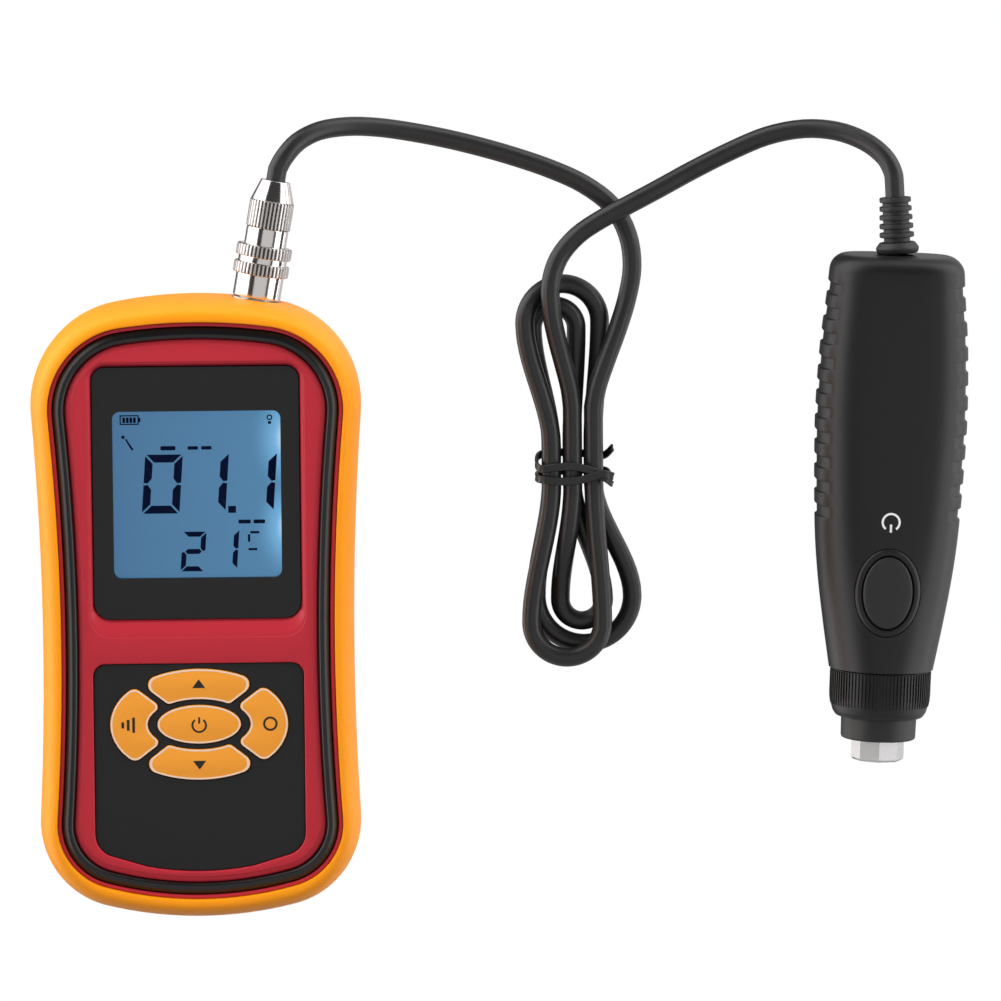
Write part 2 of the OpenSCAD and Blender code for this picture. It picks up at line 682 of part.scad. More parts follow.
module rear_case() {
  color("firebrick") difference() {
    union() {
      difference() {
        prism(outline(boot_shape, case_inset), boot_back, seam_z);
        prism(outline(boot_shape, case_inset + case_wall), bay_floor, seam_z + cut);
      }
      for (s = case_screw_spots) translate([s[0], s[1], boot_back]) cylinder(r = boss_r, h = seam_z - boot_back);
      translate([0, bay_y, 0]) rounded_box(bay_w + 2 * bay_wall, bay_l + 2 * bay_wall, bay_wall, boot_back, bay_top + bay_wall);
      translate([0, door_screw_y, boot_back]) cylinder(r = boss_r, h = bay_floor + cell_d / 2 - boot_back);
    }
    translate([0, bay_y, 0]) rounded_box(bay_w, bay_l, bay_wall / 2, boot_back - cut, bay_top);
    translate([0, (door_low + door_high) / 2, 0])
      rounded_box(door_w + 2 * fit, door_high - door_low + 2 * fit, door_r, boot_back - cut, boot_back + door_t);
    translate([0, door_screw_y, boot_back]) cylinder(r = screw_r + run, h = bay_floor + cell_d / 2);
    for (s = case_screw_spots) {
      translate([s[0], s[1], boot_back - cut]) cylinder(r = head_r + fit, h = head_h + cut + fit);
      translate([s[0], s[1], boot_back]) cylinder(r = screw_r + run, h = seam_z);
    }
    jack_axis() jack_seats();
  }
}

module case_screws() {
  color("silver") for (s = case_screw_spots) translate([s[0], s[1], 0]) 
    screw(seam_z - boot_back - fit + case_screw_l - cut, boot_back + fit);
}

module board_screws() {
  color("silver") for (s = board_screw_spots) translate([s[0], s[1], 0]) 
    screw(head_h + board_t + board_screw_in_l, board_z - head_h);
}

module display_window() {
  color("black", 0.6) prism(window_points(0), window_seat, window_seat + window_t);
}

module lcd_glass() {
  color("steelblue", 0.8) translate([0, view_y, 0])
    rounded_box(view_w + 2 * lcd_margin, view_l + 2 * lcd_margin, fit, wall_z - lcd_t, wall_z);
}

module lcd_backlight() {
  strip = 3;
  color("white") translate([0, view_y + strip / 2, 0])
    rounded_box(view_w + 2 * fit, view_l - strip + 2 * lcd_margin, fit, board_top, wall_z - lcd_t);
}

module lcd_holder() {
  in_w = view_w + 2 * lcd_margin + 2 * fit;
  in_l = view_l + 2 * lcd_margin + 2 * fit;
  color("white") translate([0, view_y, 0]) difference() {
    rounded_box(in_w + 2 * holder_wall, in_l + 2 * holder_wall, holder_wall, board_top, wall_z);
    rounded_box(in_w, in_l, fit, board_top - cut, wall_z + cut);
  }
}

module zebra_strip() {
  strip = 2.2;
  color("hotpink") translate([0, view_y - view_l / 2 - lcd_margin + strip / 2 + fit, 0])
    rounded_box(view_w, strip, fit, board_top, wall_z - lcd_t);
}

module keypad_panel() {
  color("dimgray") translate([0, 0, pad_seat]) linear_extrude(pad_t) difference() {
    polygon(pad_points(0));
    for (k = [0:4]) key_shape(k, key_clear);
  }
}

module main_board() {
  notch = boss_r + 3 * fit;
  color("darkgreen") difference() {
    translate([0, (board_high + board_low) / 2, 0]) rounded_box(board_w, board_high - board_low, 2 * board_t, board_z, board_top);
    for (s = case_screw_spots) translate([s[0], s[1], board_z - cut]) cylinder(r = notch, h = board_t + 2 * cut);
    for (s = board_screw_spots) translate([s[0], s[1], board_z - cut]) cylinder(r = screw_r + run, h = board_t + 2 * cut);
  }
}

module board_parts() {
  // Width, length and height of each part under the board, and its place, in shares of the board's width
  chip_shares = [[0.16, 0.16, 0.026, 0, 0.32], [0.13, 0.08, 0.024, -0.226, 0.39], [0.13, 0.08, 0.024, 0.226, 0.226],
    [0.08, 0.056, 0.048, -0.258, 0.13], [0.065, 0.065, 0.032, 0.258, 0.48], [0.19, 0.08, 0.039, 0.065, -0.03]];
  color("black") for (c = chip_shares * board_w) translate([c[3] - c[0] / 2, c[4] - c[1] / 2, board_z - c[2]])
    cube([c[0], c[1], c[2]]);
}

module cell_rows() {
  for (i = [0:cells - 1]) translate([(i - (cells - 1) / 2) * cell_pitch, bay_y, cell_z])
    rotate([0, 0, 180 * (i % 2)]) rotate([-90, 0, 0]) children();
}

module battery_cells() {
  cap_h = 1;
  cap_r = 1.9;
  color("darkgoldenrod") cell_rows() translate([0, 0, -cell_l / 2 + spring_l / 2]) {
    cylinder(d = cell_d, h = cell_l - cap_h);
    cylinder(r = cap_r, h = cell_l);
  }
}

module battery_contacts() {
  w = cell_d * 0.8;
  color("silver") cell_rows() for (z = [-bay_l / 2, bay_l / 2 - contact_t])
    translate([-w / 2, -w / 2, z]) cube([w, w, contact_t]);
}

// Coil spring from a contact plate to the flat end of its cell
module battery_springs() {
  turns = 3;
  steps = 8;
  wire = 0.35;
  r0 = 3.4;
  r1 = 2.4;
  low = -bay_l / 2 + contact_t + wire;
  high = -cell_l / 2 + spring_l / 2 - wire - fit;
  n = turns * steps;
  color("silver") cell_rows() loft([for (i = [0:n]) let (t = i / n, a = 360 * turns * t, r = r0 + (r1 - r0) * t,
    c = [r * cos(a), r * sin(a), low + (high - low) * t], out = [cos(a), sin(a), 0])
    [for (k = [0:4]) c + wire * (cos(72 * k) * out + sin(72 * k) * [0, 0, 1])]]);
}

module battery_door() {
  rim = 1;
  plug_w = bay_w - 2 * run;
  plug_l = bay_l - 2 * run;
  color("firebrick") difference() {
    union() {
      translate([0, (door_low + door_high) / 2, 0])
        rounded_box(door_w, door_high - door_low, door_r, boot_back, boot_back + door_t);
      translate([0, bay_y, 0]) rounded_box(plug_w, plug_l, bay_wall / 2, boot_back + door_t / 2, bay_floor - run);
    }
    translate([0, bay_y, 0])
      rounded_box(plug_w - 2 * rim, plug_l - 2 * rim, bay_wall / 2, boot_back + door_t, bay_floor + cut);
    translate([0, door_screw_y, boot_back - cut]) cylinder(r = screw_r + run, h = door_t + 2 * cut);
  }
}

module door_screw() {
  thin_head = 0.9;
  color("silver") translate([0, door_screw_y, boot_back - thin_head]) difference() {
    union() {
      cylinder(r = head_r, h = thin_head);
      cylinder(r = screw_r, h = thin_head + door_t + 5 * cut);
    }
    translate([0, 0, -cut]) cylinder(r = socket_r, h = cut + thin_head / 2, $fn = 6);
  }
}

module jack_body() {
  color("silver") jack_axis() difference() {
    union() {
      translate([0, 0, jack_back]) cylinder(r = jack_r, h = jack_front - jack_back);
      translate([0, 0, jack_seat]) cylinder(r = jack_flange_r, h = -jack_seat);
      translate([0, 0, stud_at]) rotate([0, 90, 0]) translate([0, 0, -jack_r - stud_reach])
        cylinder(r = stud_r, h = 2 * (jack_r + stud_reach));
    }
    translate([0, 0, jack_back - cut]) cylinder(r = jack_bore_r, h = jack_front - jack_back + 2 * cut);
  }
}

module jack_nut() {
  nut_t = 2.4;
  at = jack_seat - jack_wall;
  color("silver") jack_axis() translate([0, 0, at - nut_t]) difference() {
    cylinder(r = jack_flange_r, h = nut_t, $fn = 6);
    translate([0, 0, -cut]) cylinder(r = jack_r + run, h = nut_t + 2 * cut);
  }
}

module jack_insulator() {
  tail = 4;
  depth = jack_back + (jack_front - jack_back) / 2;
  color("ivory") jack_axis() difference() {
    translate([0, 0, jack_back]) cylinder(r = jack_bore_r - run, h = depth - jack_back);
    translate([0, 0, depth - tail]) cylinder(r = pin_r + run, h = tail + cut);
  }
}

module plug_pin() {
  depth = jack_back + (jack_front - jack_back) / 2;
  color("gold") jack_axis() translate([0, 0, depth - 3 * cut]) cylinder(r = pin_r, h = ring_to - depth);
}

// Inner body of the plug: nose inside the jack, flange under the ring, neck and thread
module plug_body() {
  pin_hole = pin_r + run;
  nose_r = jack_bore_r - run;
  inner_r = jack_r + stud_reach + 2 * run;
  color("silver") jack_axis() difference() {
    union() {
      translate([0, 0, jack_back + (jack_front - jack_back) / 2 + 2 * cut])
        cylinder(r = nose_r, h = ring_to - jack_back - (jack_front - jack_back) / 2 - 2 * cut);
      translate([0, 0, jack_front + run]) cylinder(r = inner_r - run, h = ring_to - jack_front - cut - 2 * run);
      translate([0, 0, jack_front + cut]) cylinder(r = neck_r - cut, h = neck_to - jack_front - cut);
      translate([0, 0, ring_to + run]) cylinder(r = neck_r, h = neck_to - ring_to - run);
      translate([0, 0, neck_to - cut]) cylinder(r = neck_r - cut, h = nut_to - neck_to);
    }
    translate([0, 0, -cut]) cylinder(r = pin_hole, h = plug_to);
    translate([0, 0, ring_to + cut]) cylinder(r = cord_r, h = plug_to);
  }
}

module plug_coupling_ring() {
  bore = jack_r + run;
  wide = jack_r + stud_reach + 2 * run;
  channel = 2 * stud_r + 4 * run;
  lip = cut;
  color("silver") jack_axis() difference() {
    union() {
      translate([0, 0, ring_from]) cylinder(d = sleeve_d, h = ring_to - ring_from);
      difference() {
        translate([0, 0, grip_from]) cylinder(d = ring_d, h = ring_to - grip_from);
        knurl_cuts(ring_d / 2, 36, 5 * fit, grip_from - cut, ring_to);
        ring(ring_d, sleeve_d / 2 + run, (grip_from + ring_to) / 2 - cut, (grip_from + ring_to) / 2 + cut);
      }
    }
    translate([0, 0, ring_from - cut]) cylinder(r = bore, h = ring_to);
    translate([0, 0, stud_at - channel / 2]) cylinder(r = wide, h = ring_to - stud_at + channel / 2 - lip);
    for (a = [0, 180]) rotate([0, 0, a + 90])
      translate([0, -channel / 2, ring_from - cut]) cube([wide, channel, stud_at - ring_from + cut]);
    translate([0, 0, ring_to - 2 * cut]) cylinder(r = neck_r - cut + run, h = 4 * cut);
  }
}

module plug_clamp_nut() {
  color("silver") jack_axis() difference() {
    union() {
      difference() {
        translate([0, 0, neck_to + run]) cylinder(d = clamp_d, h = nut_to - neck_to - run);
        knurl_cuts(clamp_d / 2, 30, 4 * fit, neck_to - cut, nut_to);
      }
      translate([0, 0, nut_to]) cylinder(r1 = clamp_d / 2 - run, r2 = cone_end_r, h = plug_to - nut_to);
    }
    translate([0, 0, neck_to - cut]) cylinder(r = neck_r - cut + run, h = nut_to - neck_to + run);
    translate([0, 0, neck_to]) cylinder(r = cord_r + run, h = plug_to);
  }
}

// Smooth curve through chosen points, with evenly shared steps between them
function curve_point(p, i, t) =
  let (n = len(p), a = p[max(i - 1, 0)], b = p[i], c = p[min(i + 1, n - 1)], d = p[min(i + 2, n - 1)])
  (2 * b + (c - a) * t + (2 * a - 5 * b + 4 * c - d) * t * t + (3 * b - a - 3 * c + d) * t * t * t) / 2;
function curve(p, n) = concat([for (i = [0:len(p) - 2]) for (k = [0:n - 1]) curve_point(p, i, k / n)], [p[len(p) - 1]]);
function unit(v) = v / norm(v);
function way_at(p, i) = unit(p[min(i + 1, len(p) - 1)] - p[max(i - 1, 0)]);
function path_length(p) = sum([for (i = [1:len(p) - 1]) norm(p[i] - p[i - 1])]);

// Ring of points round a place on a path, square to it, with the first and last directions given
function tube_ring(c, way, r, n) =
  let (across = unit(cross([0, 0, 1], way)), up = cross(way, across))
  [for (k = [0:n - 1]) c + r * (cos(360 * (k + 0.5) / n) * across + sin(360 * (k + 0.5) / n) * up)];

module tube(path, r, n, first, last) {
  m = len(path);
  loft([for (i = [0:m - 1])
    tube_ring(path[i], i == 0 ? first : i == m - 1 ? last : way_at(path, i), r, n)]);
}

jack_way = [sin(jack_turn), cos(jack_turn), 0];
plug_end = [jack_x, jack_y, jack_z] + plug_to * jack_way;
probe_way = [sin(probe_turn), cos(probe_turn), 0];
relief_way = [sin(probe_turn - relief_lean), cos(probe_turn - relief_lean), 0];
relief_end = [probe_x, probe_y, probe_z] + grip_to_y * probe_way + relief_len * relief_way;
hank_in = [tie_x + strand_step, tie_y + hank_start, tie_high];
hank_out = [tie_x, tie_y + hank_start, tie_high];

meter_run = concat([plug_end - tuck * jack_way],
  curve(concat([plug_end + straight * jack_way], meter_run_points, [hank_in + cord_d * [0, 1, 0]]), 2),
  [hank_in + 0.5 * cord_d * [0, 1, 0], hank_in]);
probe_run = concat([hank_out, hank_out + 0.5 * cord_d * [0, 1, 0]],
  curve(concat([hank_out + cord_d * [0, 1, 0]], probe_run_points, [relief_end + straight * relief_way]), 2),
  [relief_end - tuck * relief_way]);

module cord_meter_run() {
  color("black") tube(meter_run, cord_r, 8, jack_way, [0, -1, 0]);
}

module cord_probe_run() {
  color("black") tube(probe_run, cord_r, 8, [0, 1, 0], -relief_way);
}

// One lobe of the hank: a leg out from the tie, a round end and a leg back
function lobe_points(l) =
  let (way = sign(l[2]), r = abs(l[1] - l[0]) / 2, mid = (l[0] + l[1]) / 2, cy = l[2] - way * r,
    x0 = l[3] * strand_step, x1 = l[4] * strand_step, side = sign(l[0] - l[1]))
  concat([for (i = [0:leg_n - 1]) let (t = i / leg_n, s = smooth(t))
      [x0 + (l[0] - x0) * s, way * waist_half + (cy - way * waist_half) * t, l[5] + (l[6] - l[5]) * leg_lift(t)]],
    [for (i = [0:turn_n]) let (t = i / turn_n, a = 180 * t)
      [mid + side * r * cos(a), cy + way * r * sin(a), l[6] + (l[7] - l[6]) * smooth(max(0, min(1, turn_in(t))))]],
    [for (i = [leg_n - 1:-1:0]) let (t = i / leg_n, s = smooth(t))
      [x1 + (l[1] - x1) * s, way * waist_half + (cy - way * waist_half) * t, l[8] + (l[7] - l[8]) * leg_lift(t)]]);
// Where along a round end the cord changes its layer
function turn_in(t) = t * 2.2 - 0.2;
// Share of the change of height at a share of a leg, which starts a little past the tie
function leg_lift(t) = smooth(max(0, (t - 0.3) / 0.7));
hank_path = concat([hank_in], [for (l = lobes) each [for (p = lobe_points(l)) p + [tie_x, tie_y, 0]]], [hank_out]);

// Least distance between stretches of the hank that are not neighbours, less one diameter
skip = 5;
hank_gap = min([for (i = [0:len(hank_path) - 1]) for (j = [i + skip:1:len(hank_path) - 1])
  if (path_length([for (k = [i:j]) hank_path[k]]) > 3 * cord_d) norm(hank_path[i] - hank_path[j])]) - cord_d;

module cord_hank() {
  echo(cord_length = path_length(meter_run) + path_length(hank_path) + path_length(probe_run),
    hank_gap = hank_gap);
  color("black") tube(hank_path, cord_r, 6, [0, -1, 0], [0, 1, 0]);
}

// Wire tie: two turns round the six strands and a twisted tail
module cord_tie() {
  w = 3 * strand_step + 2 * tie_gap;
  h = 2 * strand_step + tie_gap;
  tail_r = 0.9;
  tail_l = 9;
  color("black") translate([tie_x, tie_y, 0]) {
    for (s = [-1, 1]) translate([0, s * (tie_w / 2 + fit) + tie_w / 2, tie_lift + h / 2 - tie_gap]) rotate([90, 0, 0])
      linear_extrude(tie_w) difference() {
        polygon(rounded(box_outline(w + 2 * tie_t, h + 2 * tie_t, cord_r)));
        polygon(rounded(box_outline(w, h, cord_r - tie_t)));
      }
    translate([w / 2 + tie_t / 2, 0, tie_high]) rotate([-60, 0, -35]) cylinder(r = tail_r, h = tail_l, $fn = 12);
  }
}

// Half sizes of the grip at a station, by share of its length
function grip_a(s) = lookup(s, grip_w_shares) * grip_w / 2;
function grip_b(s) = lookup(s, grip_h_shares) * grip_h / 2;
function grip_n(s) = lookup(s, grip_power_shares);
function power(v, e) = sign(v) * pow(abs(v), e);

// Half ring of the grip's section, from one side over the top to the other
function section(a, b, n, dip, k0 = 0) = [for (i = [0:grip_half_n]) let (t = 180 * i / grip_half_n,
  side = pow(abs(cos(t)), 3), d = 1 - dip * side / a) [a * power(cos(t), 2 / n) * d, b * power(sin(t), 2 / n)]];
function round_section(r) = [for (i = [0:grip_half_n]) let (t = 180 * i / grip_half_n) r * [cos(t), sin(t)]];

// Thickness of the shells' front and back walls
nose_wall = 3;
back_wall = 2.4;
// Stations along the grip: place, how much the outline is drawn in, and 1 in a rib groove
rib_half = rib_w / 2;
zone_low = first_rib - rib_pitch * 0.75;
zone_high = first_rib + (ribs - 1) * rib_pitch + rib_pitch * 0.75;
rib_stations = [for (i = [0:ribs - 1]) let (c = first_rib + i * rib_pitch)
  each [[c - rib_half - rib_ramp, 0, 1], [c - rib_half, 0, 0], [c + rib_half, 0, 0], [c + rib_half + rib_ramp, 0, 1]]];
corner_steps = 4;
grip_stations = concat([[0, 0, 0], [nose_wall, 0, 0], [nose_wall + rib_ramp, 0, 0],
  [zone_low * 0.33, 0, 0], [zone_low * 0.66, 0, 0], [zone_low, 0, 0], [zone_low + rib_ramp, 0, 1]], rib_stations,
  [[zone_high - rib_ramp, 0, 1], [zone_high, 0, 0]],
  [for (i = [0:corner_steps]) let (a = 90 * i / corner_steps)
    [grip_l - grip_end_r * (1 - sin(a)), grip_end_r * (1 - cos(a)), 0]]);
// One grip shell as a single skin: outside, inside and the two end walls
module half_shell() {
  rings = [for (g = grip_stations) let (s = g[0] / grip_l, a = grip_a(s) - g[1], b = grip_b(s) - g[1],
      front = g[0] < nose_wall + rib_ramp / 2, back = g[0] > grip_l - back_wall,
      in = front ? round_section(neck_bore_r) : back ? round_section(relief_bore)
        : section(grip_a(s) - grip_wall - (s < 0.2 ? 0 : rib_h), grip_b(s) - grip_wall, grip_n(s), 0))
    [for (p = concat(section(a, b, grip_n(s), g[2] * rib_h), flip(in))) [p[0], -p[1], g[0]]]];
  m = len(rings);
  n = len(rings[0]);
  h = n / 2;
  sides = [for (i = [0:m - 2]) for (j = [0:n - 1])
    let (a = i * n + j, b = i * n + (j + 1) % n) each [[a, b + n, a + n], [a, b, b + n]]];
  ends = [for (j = [0:h - 2]) let (o = (m - 1) * n) each [[j, n - 1 - j, j + 1], [j + 1, n - 1 - j, n - 2 - j],
    [o + j, o + j + 1, o + n - 1 - j], [o + j + 1, o + n - 2 - j, o + n - 1 - j]]];
  translate([0, 0, grip_from_y]) polyhedron([for (ring = rings) each ring], concat(sides, ends));
}

module probe_upper_shell() {
  color("dimgray") difference() {
    union() {
      probe_axis() half_shell();
      probe_place() for (s = probe_screw_spots) translate([s[0], s[1], probe_z])
        cylinder(r = boss_r, h = grip_b((s[1] - grip_from_y) / grip_l) - grip_wall / 2);
    }
    probe_place() {
      translate([0, button_y, probe_z + cut]) linear_extrude(grip_h) polygon(ellipse(button_a + bezel_w + fit, button_b + bezel_w + fit));
      for (s = probe_screw_spots) translate([s[0], s[1], probe_z - cut]) cylinder(r = screw_r + run, h = probe_screw_l + 1.2 * cut);
    }
  }
}

module probe_lower_shell() {
  color("dimgray") difference() {
    union() {
      probe_axis() mirror([0, 1, 0]) half_shell();
      probe_place() for (s = probe_screw_spots) translate([s[0], s[1], 2 * cut]) cylinder(r = boss_r, h = probe_z - 2 * cut);
      probe_place() for (y = [-1, 1]) translate([-probe_board_w / 2, probe_board_y + y * probe_board_l * 0.3, 2 * cut])
        cube([probe_board_w, grip_wall, probe_board_z - 2 * cut]);
    }
    probe_place() for (s = probe_screw_spots) {
      translate([s[0], s[1], -cut]) cylinder(r = head_r + fit, h = cut + head_sink);
      translate([s[0], s[1], -cut]) cylinder(r = screw_r + run, h = grip_h);
    }
  }
}

module probe_screws() {
  color("silver") probe_place() for (s = probe_screw_spots) translate([s[0], s[1], 0])
    screw(probe_z - head_sink + head_h + probe_screw_l - cut, head_sink - head_h);
}

// Whole grip without grooves, used to give the button and its bezel the grip's crown
module grip_crown(grow) {
  probe_axis() loft([for (s = [0, 0.1, 0.15, 0.2, 0.25, 0.3, 0.4]) let (top = section(grip_a(s) + grow, grip_b(s) + grow, grip_n(s), 0))
    [for (p = concat(flip(top), [for (i = [1:grip_half_n - 1]) -top[i]])) [p[0], -p[1], grip_from_y + s * grip_l]]]);
}

module button_bezel() {
  proud = 0.2;
  color("black") difference() {
    union() {
      intersection() {
        grip_crown(proud);
        probe_place() translate([0, button_y, button_z]) linear_extrude(grip_h)
          polygon(ellipse(button_a + bezel_w, button_b + bezel_w));
      }
      probe_place() translate([0, button_y, button_z - bezel_flange_t]) linear_extrude(bezel_flange_t)
        polygon(ellipse(button_a + bezel_w, button_b + bezel_w));
    }
    probe_place() translate([0, button_y, button_z - 2 * cut]) linear_extrude(grip_h)
      polygon(ellipse(button_a + bezel_gap, button_b + bezel_gap));
  }
}

module probe_button() {
  proud = 0.5;
  color("black") union() {
    intersection() {
      grip_crown(proud);
      probe_place() translate([0, button_y, button_z - bezel_flange_t]) linear_extrude(grip_h)
        polygon(ellipse(button_a, button_b));
    }
    probe_place() translate([0, button_y, button_z - 2 * bezel_flange_t - fit]) linear_extrude(bezel_flange_t)
      polygon(ellipse(button_a + bezel_flange, button_b + bezel_flange));
    probe_place() translate([0, button_y, button_z - 2 * bezel_flange_t - fit]) linear_extrude(bezel_flange_t * 2 + fit)
      polygon(ellipse(button_a - bezel_flange, button_b - bezel_flange));
  }
}

module probe_switch() {
  w = 6;
  low = probe_board_z + board_t;
  high = button_z - 2 * bezel_flange_t - fit - button_travel - run;
  color("silver") probe_place() translate([0, button_y, 0]) {
    translate([-w / 2, -w / 2, low]) cube([w, w, (high - low) * 0.7]);
    translate([0, 0, low]) cylinder(r = w / 4, h = high - low);
  }
}

module probe_board() {
  color("darkgreen") difference() {
    probe_place() translate([0, probe_board_y, 0]) rounded_box(probe_board_w, probe_board_l, board_t, probe_board_z, probe_board_z + board_t);
    probe_place() for (s = probe_screw_spots) translate([s[0], s[1], 0]) cylinder(r = boss_r + 2 * fit, h = grip_h);
  }
}

module strain_relief() {
  // Radius and place of each step of the relief outside the grip
  inner = relief_bore - fit;
  rings = 5;
  flange_r = 5.65;
  flange_t = 3.6;
  tip_r = 4;
  base_r = 4.5;
  core_r = 3.4;
  slot = 1;
  pitch = (relief_len - flange_t) / rings;
  color("black") probe_axis() translate([0, 0, grip_to_y]) difference() {
    union() {
      translate([0, 0, -back_wall - fit]) cylinder(r = inner, h = back_wall + flange_t);
      translate([0, 0, -back_wall - fit - 2 * cut]) cylinder(r = inner + cut, h = 2 * cut);
      rotate([0, -relief_lean, 0]) {
        translate([0, 0, 3 * fit]) cylinder(r = flange_r, h = flange_t - slot);
        cylinder(r = core_r, h = relief_len);
        for (i = [0:rings - 1]) translate([0, 0, flange_t + i * pitch + slot])
          cylinder(r = base_r + (tip_r - base_r) * i / rings, h = pitch - slot);
      }
    }
    rotate([0, -relief_lean, 0]) translate([0, 0, relief_len - tuck]) cylinder(r = cord_r + run, h = tuck + cut);
  }
}

// Tube that carries the collar, locked between the shells by its flange
module nose_tube() {
  low = collar_from + 3.6;
  rim = 1.2;
  step = grip_from_y - fit;
  high = grip_from_y + nose_wall + rib_ramp + fit;
  color("dimgray") probe_axis() rotate_extrude() polygon([[tube_bore_r, low], [tube_r, low], [tube_r, step],
    [tube_neck_r, step], [tube_neck_r, high], [tube_r, high], [tube_r, high + rim], [tube_bore_r, high + rim]]);
}

module probe_collar() {
  lip = 1.8;
  round_l = 6;
  // Shares of the rounding: how far in from the collar's radius, and along its length
  round_shares = [[0.55, 0], [0.32, 0.3], [0.16, 0.55], [0.05, 0.8], [0, 1]];
  count = 60;
  color("black") probe_axis() difference() {
    rotate_extrude() polygon(concat([[nose_d / 2 + run, collar_from]],
      [for (q = round_shares) [collar_r - round_l * q[0], collar_from + round_l * q[1]]],
      [[collar_r, collar_from + collar_l], [tube_r + run, collar_from + collar_l],
      [tube_r + run, collar_from + lip], [nose_d / 2 + run, collar_from + lip]]));
    knurl_cuts(collar_r + fit, count, 5 * fit, collar_from + round_l * 0.6, grip_from_y);
  }
}

module nose_bush() {
  bore = tip_d / 2 + fit;
  lip = 1.8;
  rim = 1.4;
  color("black") probe_axis() rotate_extrude() polygon([[bore, nose_from], [nose_d / 2 - fit * 4, nose_from],
    [nose_d / 2, nose_from + fit * 4], [nose_d / 2, collar_from + lip + run], [tube_r - fit, collar_from + lip + run],
    [tube_r - fit, collar_from + lip + run + rim], [bore, collar_from + lip + run + rim]]);
}

module steel_tip() {
  chamfer = 0.6;
  color("silver") probe_axis() union() {
    cylinder(d1 = tip_d - 2 * chamfer, d2 = tip_d, h = chamfer, $fn = 8);
    translate([0, 0, chamfer]) cylinder(d = tip_d, h = sensor_from - chamfer, $fn = 8);
    cylinder(r = shank_r, h = sensor_from + tip_inside);
  }
}
module sensor_base() {
  color("silver") probe_axis() difference() {
    union() {
      translate([0, 0, sensor_from]) cylinder(r = tube_bore_r - run, h = base_t);
      translate([0, 0, sensor_from + base_t - cut]) cylinder(r = post_r, h = cut + stack_t + mass_t + cut);
    }
    translate([0, 0, sensor_from - cut]) cylinder(r = shank_r + run, h = tip_inside + cut);
  }
}

module piezo_stack() {
  color("tan") probe_axis() ring(stack_r, post_r + run, sensor_from + base_t, sensor_from + base_t + stack_t);
}

module seismic_mass() {
  color("gold") probe_axis() ring(mass_r, post_r + run,
    sensor_from + base_t + stack_t, sensor_from + base_t + stack_t + mass_t);
}

boot();
front_case();
face_band();
rear_case();
display_window();
lcd_glass();
lcd_backlight();
lcd_holder();
zebra_strip();
keypad_panel();
key_top();
key_left();
key_centre();
key_right();
key_bottom();
key_domes();
main_board();
board_parts();
battery_cells();
battery_springs();
battery_contacts();
battery_door();
door_screw();
case_screws();
board_screws();
jack_body();
jack_nut();
jack_insulator();
plug_body();
plug_coupling_ring();
plug_clamp_nut();
plug_pin();
cord_meter_run();
cord_hank();
cord_tie();
cord_probe_run();
strain_relief();
probe_upper_shell();
probe_lower_shell();
probe_screws();
button_bezel();
probe_button();
probe_switch();
probe_board();
nose_tube();
probe_collar();
nose_bush();
sensor_base();
piezo_stack();
seismic_mass();
steel_tip();
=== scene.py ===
# %% [markdown]
# # A handheld vibration meter with its probe
#
# The construction model gives every solid its place and size. This lesson dresses it: each piece
# that is seen gets its final curves, edges and finish, at the same place as the solid that it
# stands for. Lengths are in millimetres, as on a drawing, and become metres in a finished mesh.

import math

import bpy
import bmesh
from mathutils import Matrix, Vector


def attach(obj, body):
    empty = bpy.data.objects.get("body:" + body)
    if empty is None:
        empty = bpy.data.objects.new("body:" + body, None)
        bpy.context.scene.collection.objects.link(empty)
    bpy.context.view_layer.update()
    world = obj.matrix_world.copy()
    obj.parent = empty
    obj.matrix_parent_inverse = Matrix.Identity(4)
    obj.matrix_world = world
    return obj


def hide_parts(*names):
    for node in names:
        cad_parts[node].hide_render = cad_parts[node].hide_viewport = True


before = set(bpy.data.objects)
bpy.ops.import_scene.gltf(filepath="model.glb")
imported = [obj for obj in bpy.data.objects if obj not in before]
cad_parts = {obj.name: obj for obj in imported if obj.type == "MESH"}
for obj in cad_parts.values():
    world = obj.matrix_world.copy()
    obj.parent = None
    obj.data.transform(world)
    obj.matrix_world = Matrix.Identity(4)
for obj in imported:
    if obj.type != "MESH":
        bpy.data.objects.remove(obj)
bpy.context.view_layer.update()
MM = 0.001
ROOT = "instrument"
QUARTER = math.pi / 2
TURN = 2 * math.pi


def put(name, data):
    """A new object with that data, in the scene."""
    obj = bpy.data.objects.new(name, data)
    bpy.context.scene.collection.objects.link(obj)
    return obj


# %% [markdown]
# ## Camera
#
# The product photograph was taken from above with a long lens. Circles round the probe bulge
# downward in it, and the boot's rim is wider at the top, so the camera leans a few degrees toward
# the connector end and a little to the left. It is rebuilt from those leans, a slight roll, and
# the width of floor that it sees.

# %% Camera
CAM_LEAN = math.radians(6.5)
CAM_ROLL = math.radians(0.62)
CAM_SIDE = math.radians(1.3)
CAM_TARGET = Vector((78.75, 26.31, 19.0)) * MM
CAM_DISTANCE = 2.0
FIELD_WIDTH = 260.26 * MM
SENSOR = 36.0


def camera_matrix():
    level = Vector((math.sin(CAM_ROLL), math.cos(CAM_ROLL), 0))
    right = Vector((math.cos(CAM_ROLL), -math.sin(CAM_ROLL), 0))
    back = Vector((0, 0, math.cos(CAM_LEAN))) + level * math.sin(CAM_LEAN)
    back = back * math.cos(CAM_SIDE) - right * math.sin(CAM_SIDE)
    up = level * math.cos(CAM_LEAN) - Vector((0, 0, math.sin(CAM_LEAN)))
    turn = Matrix((up.cross(back), up, back)).transposed().to_4x4()
    return Matrix.Translation(CAM_TARGET + back * CAM_DISTANCE) @ turn


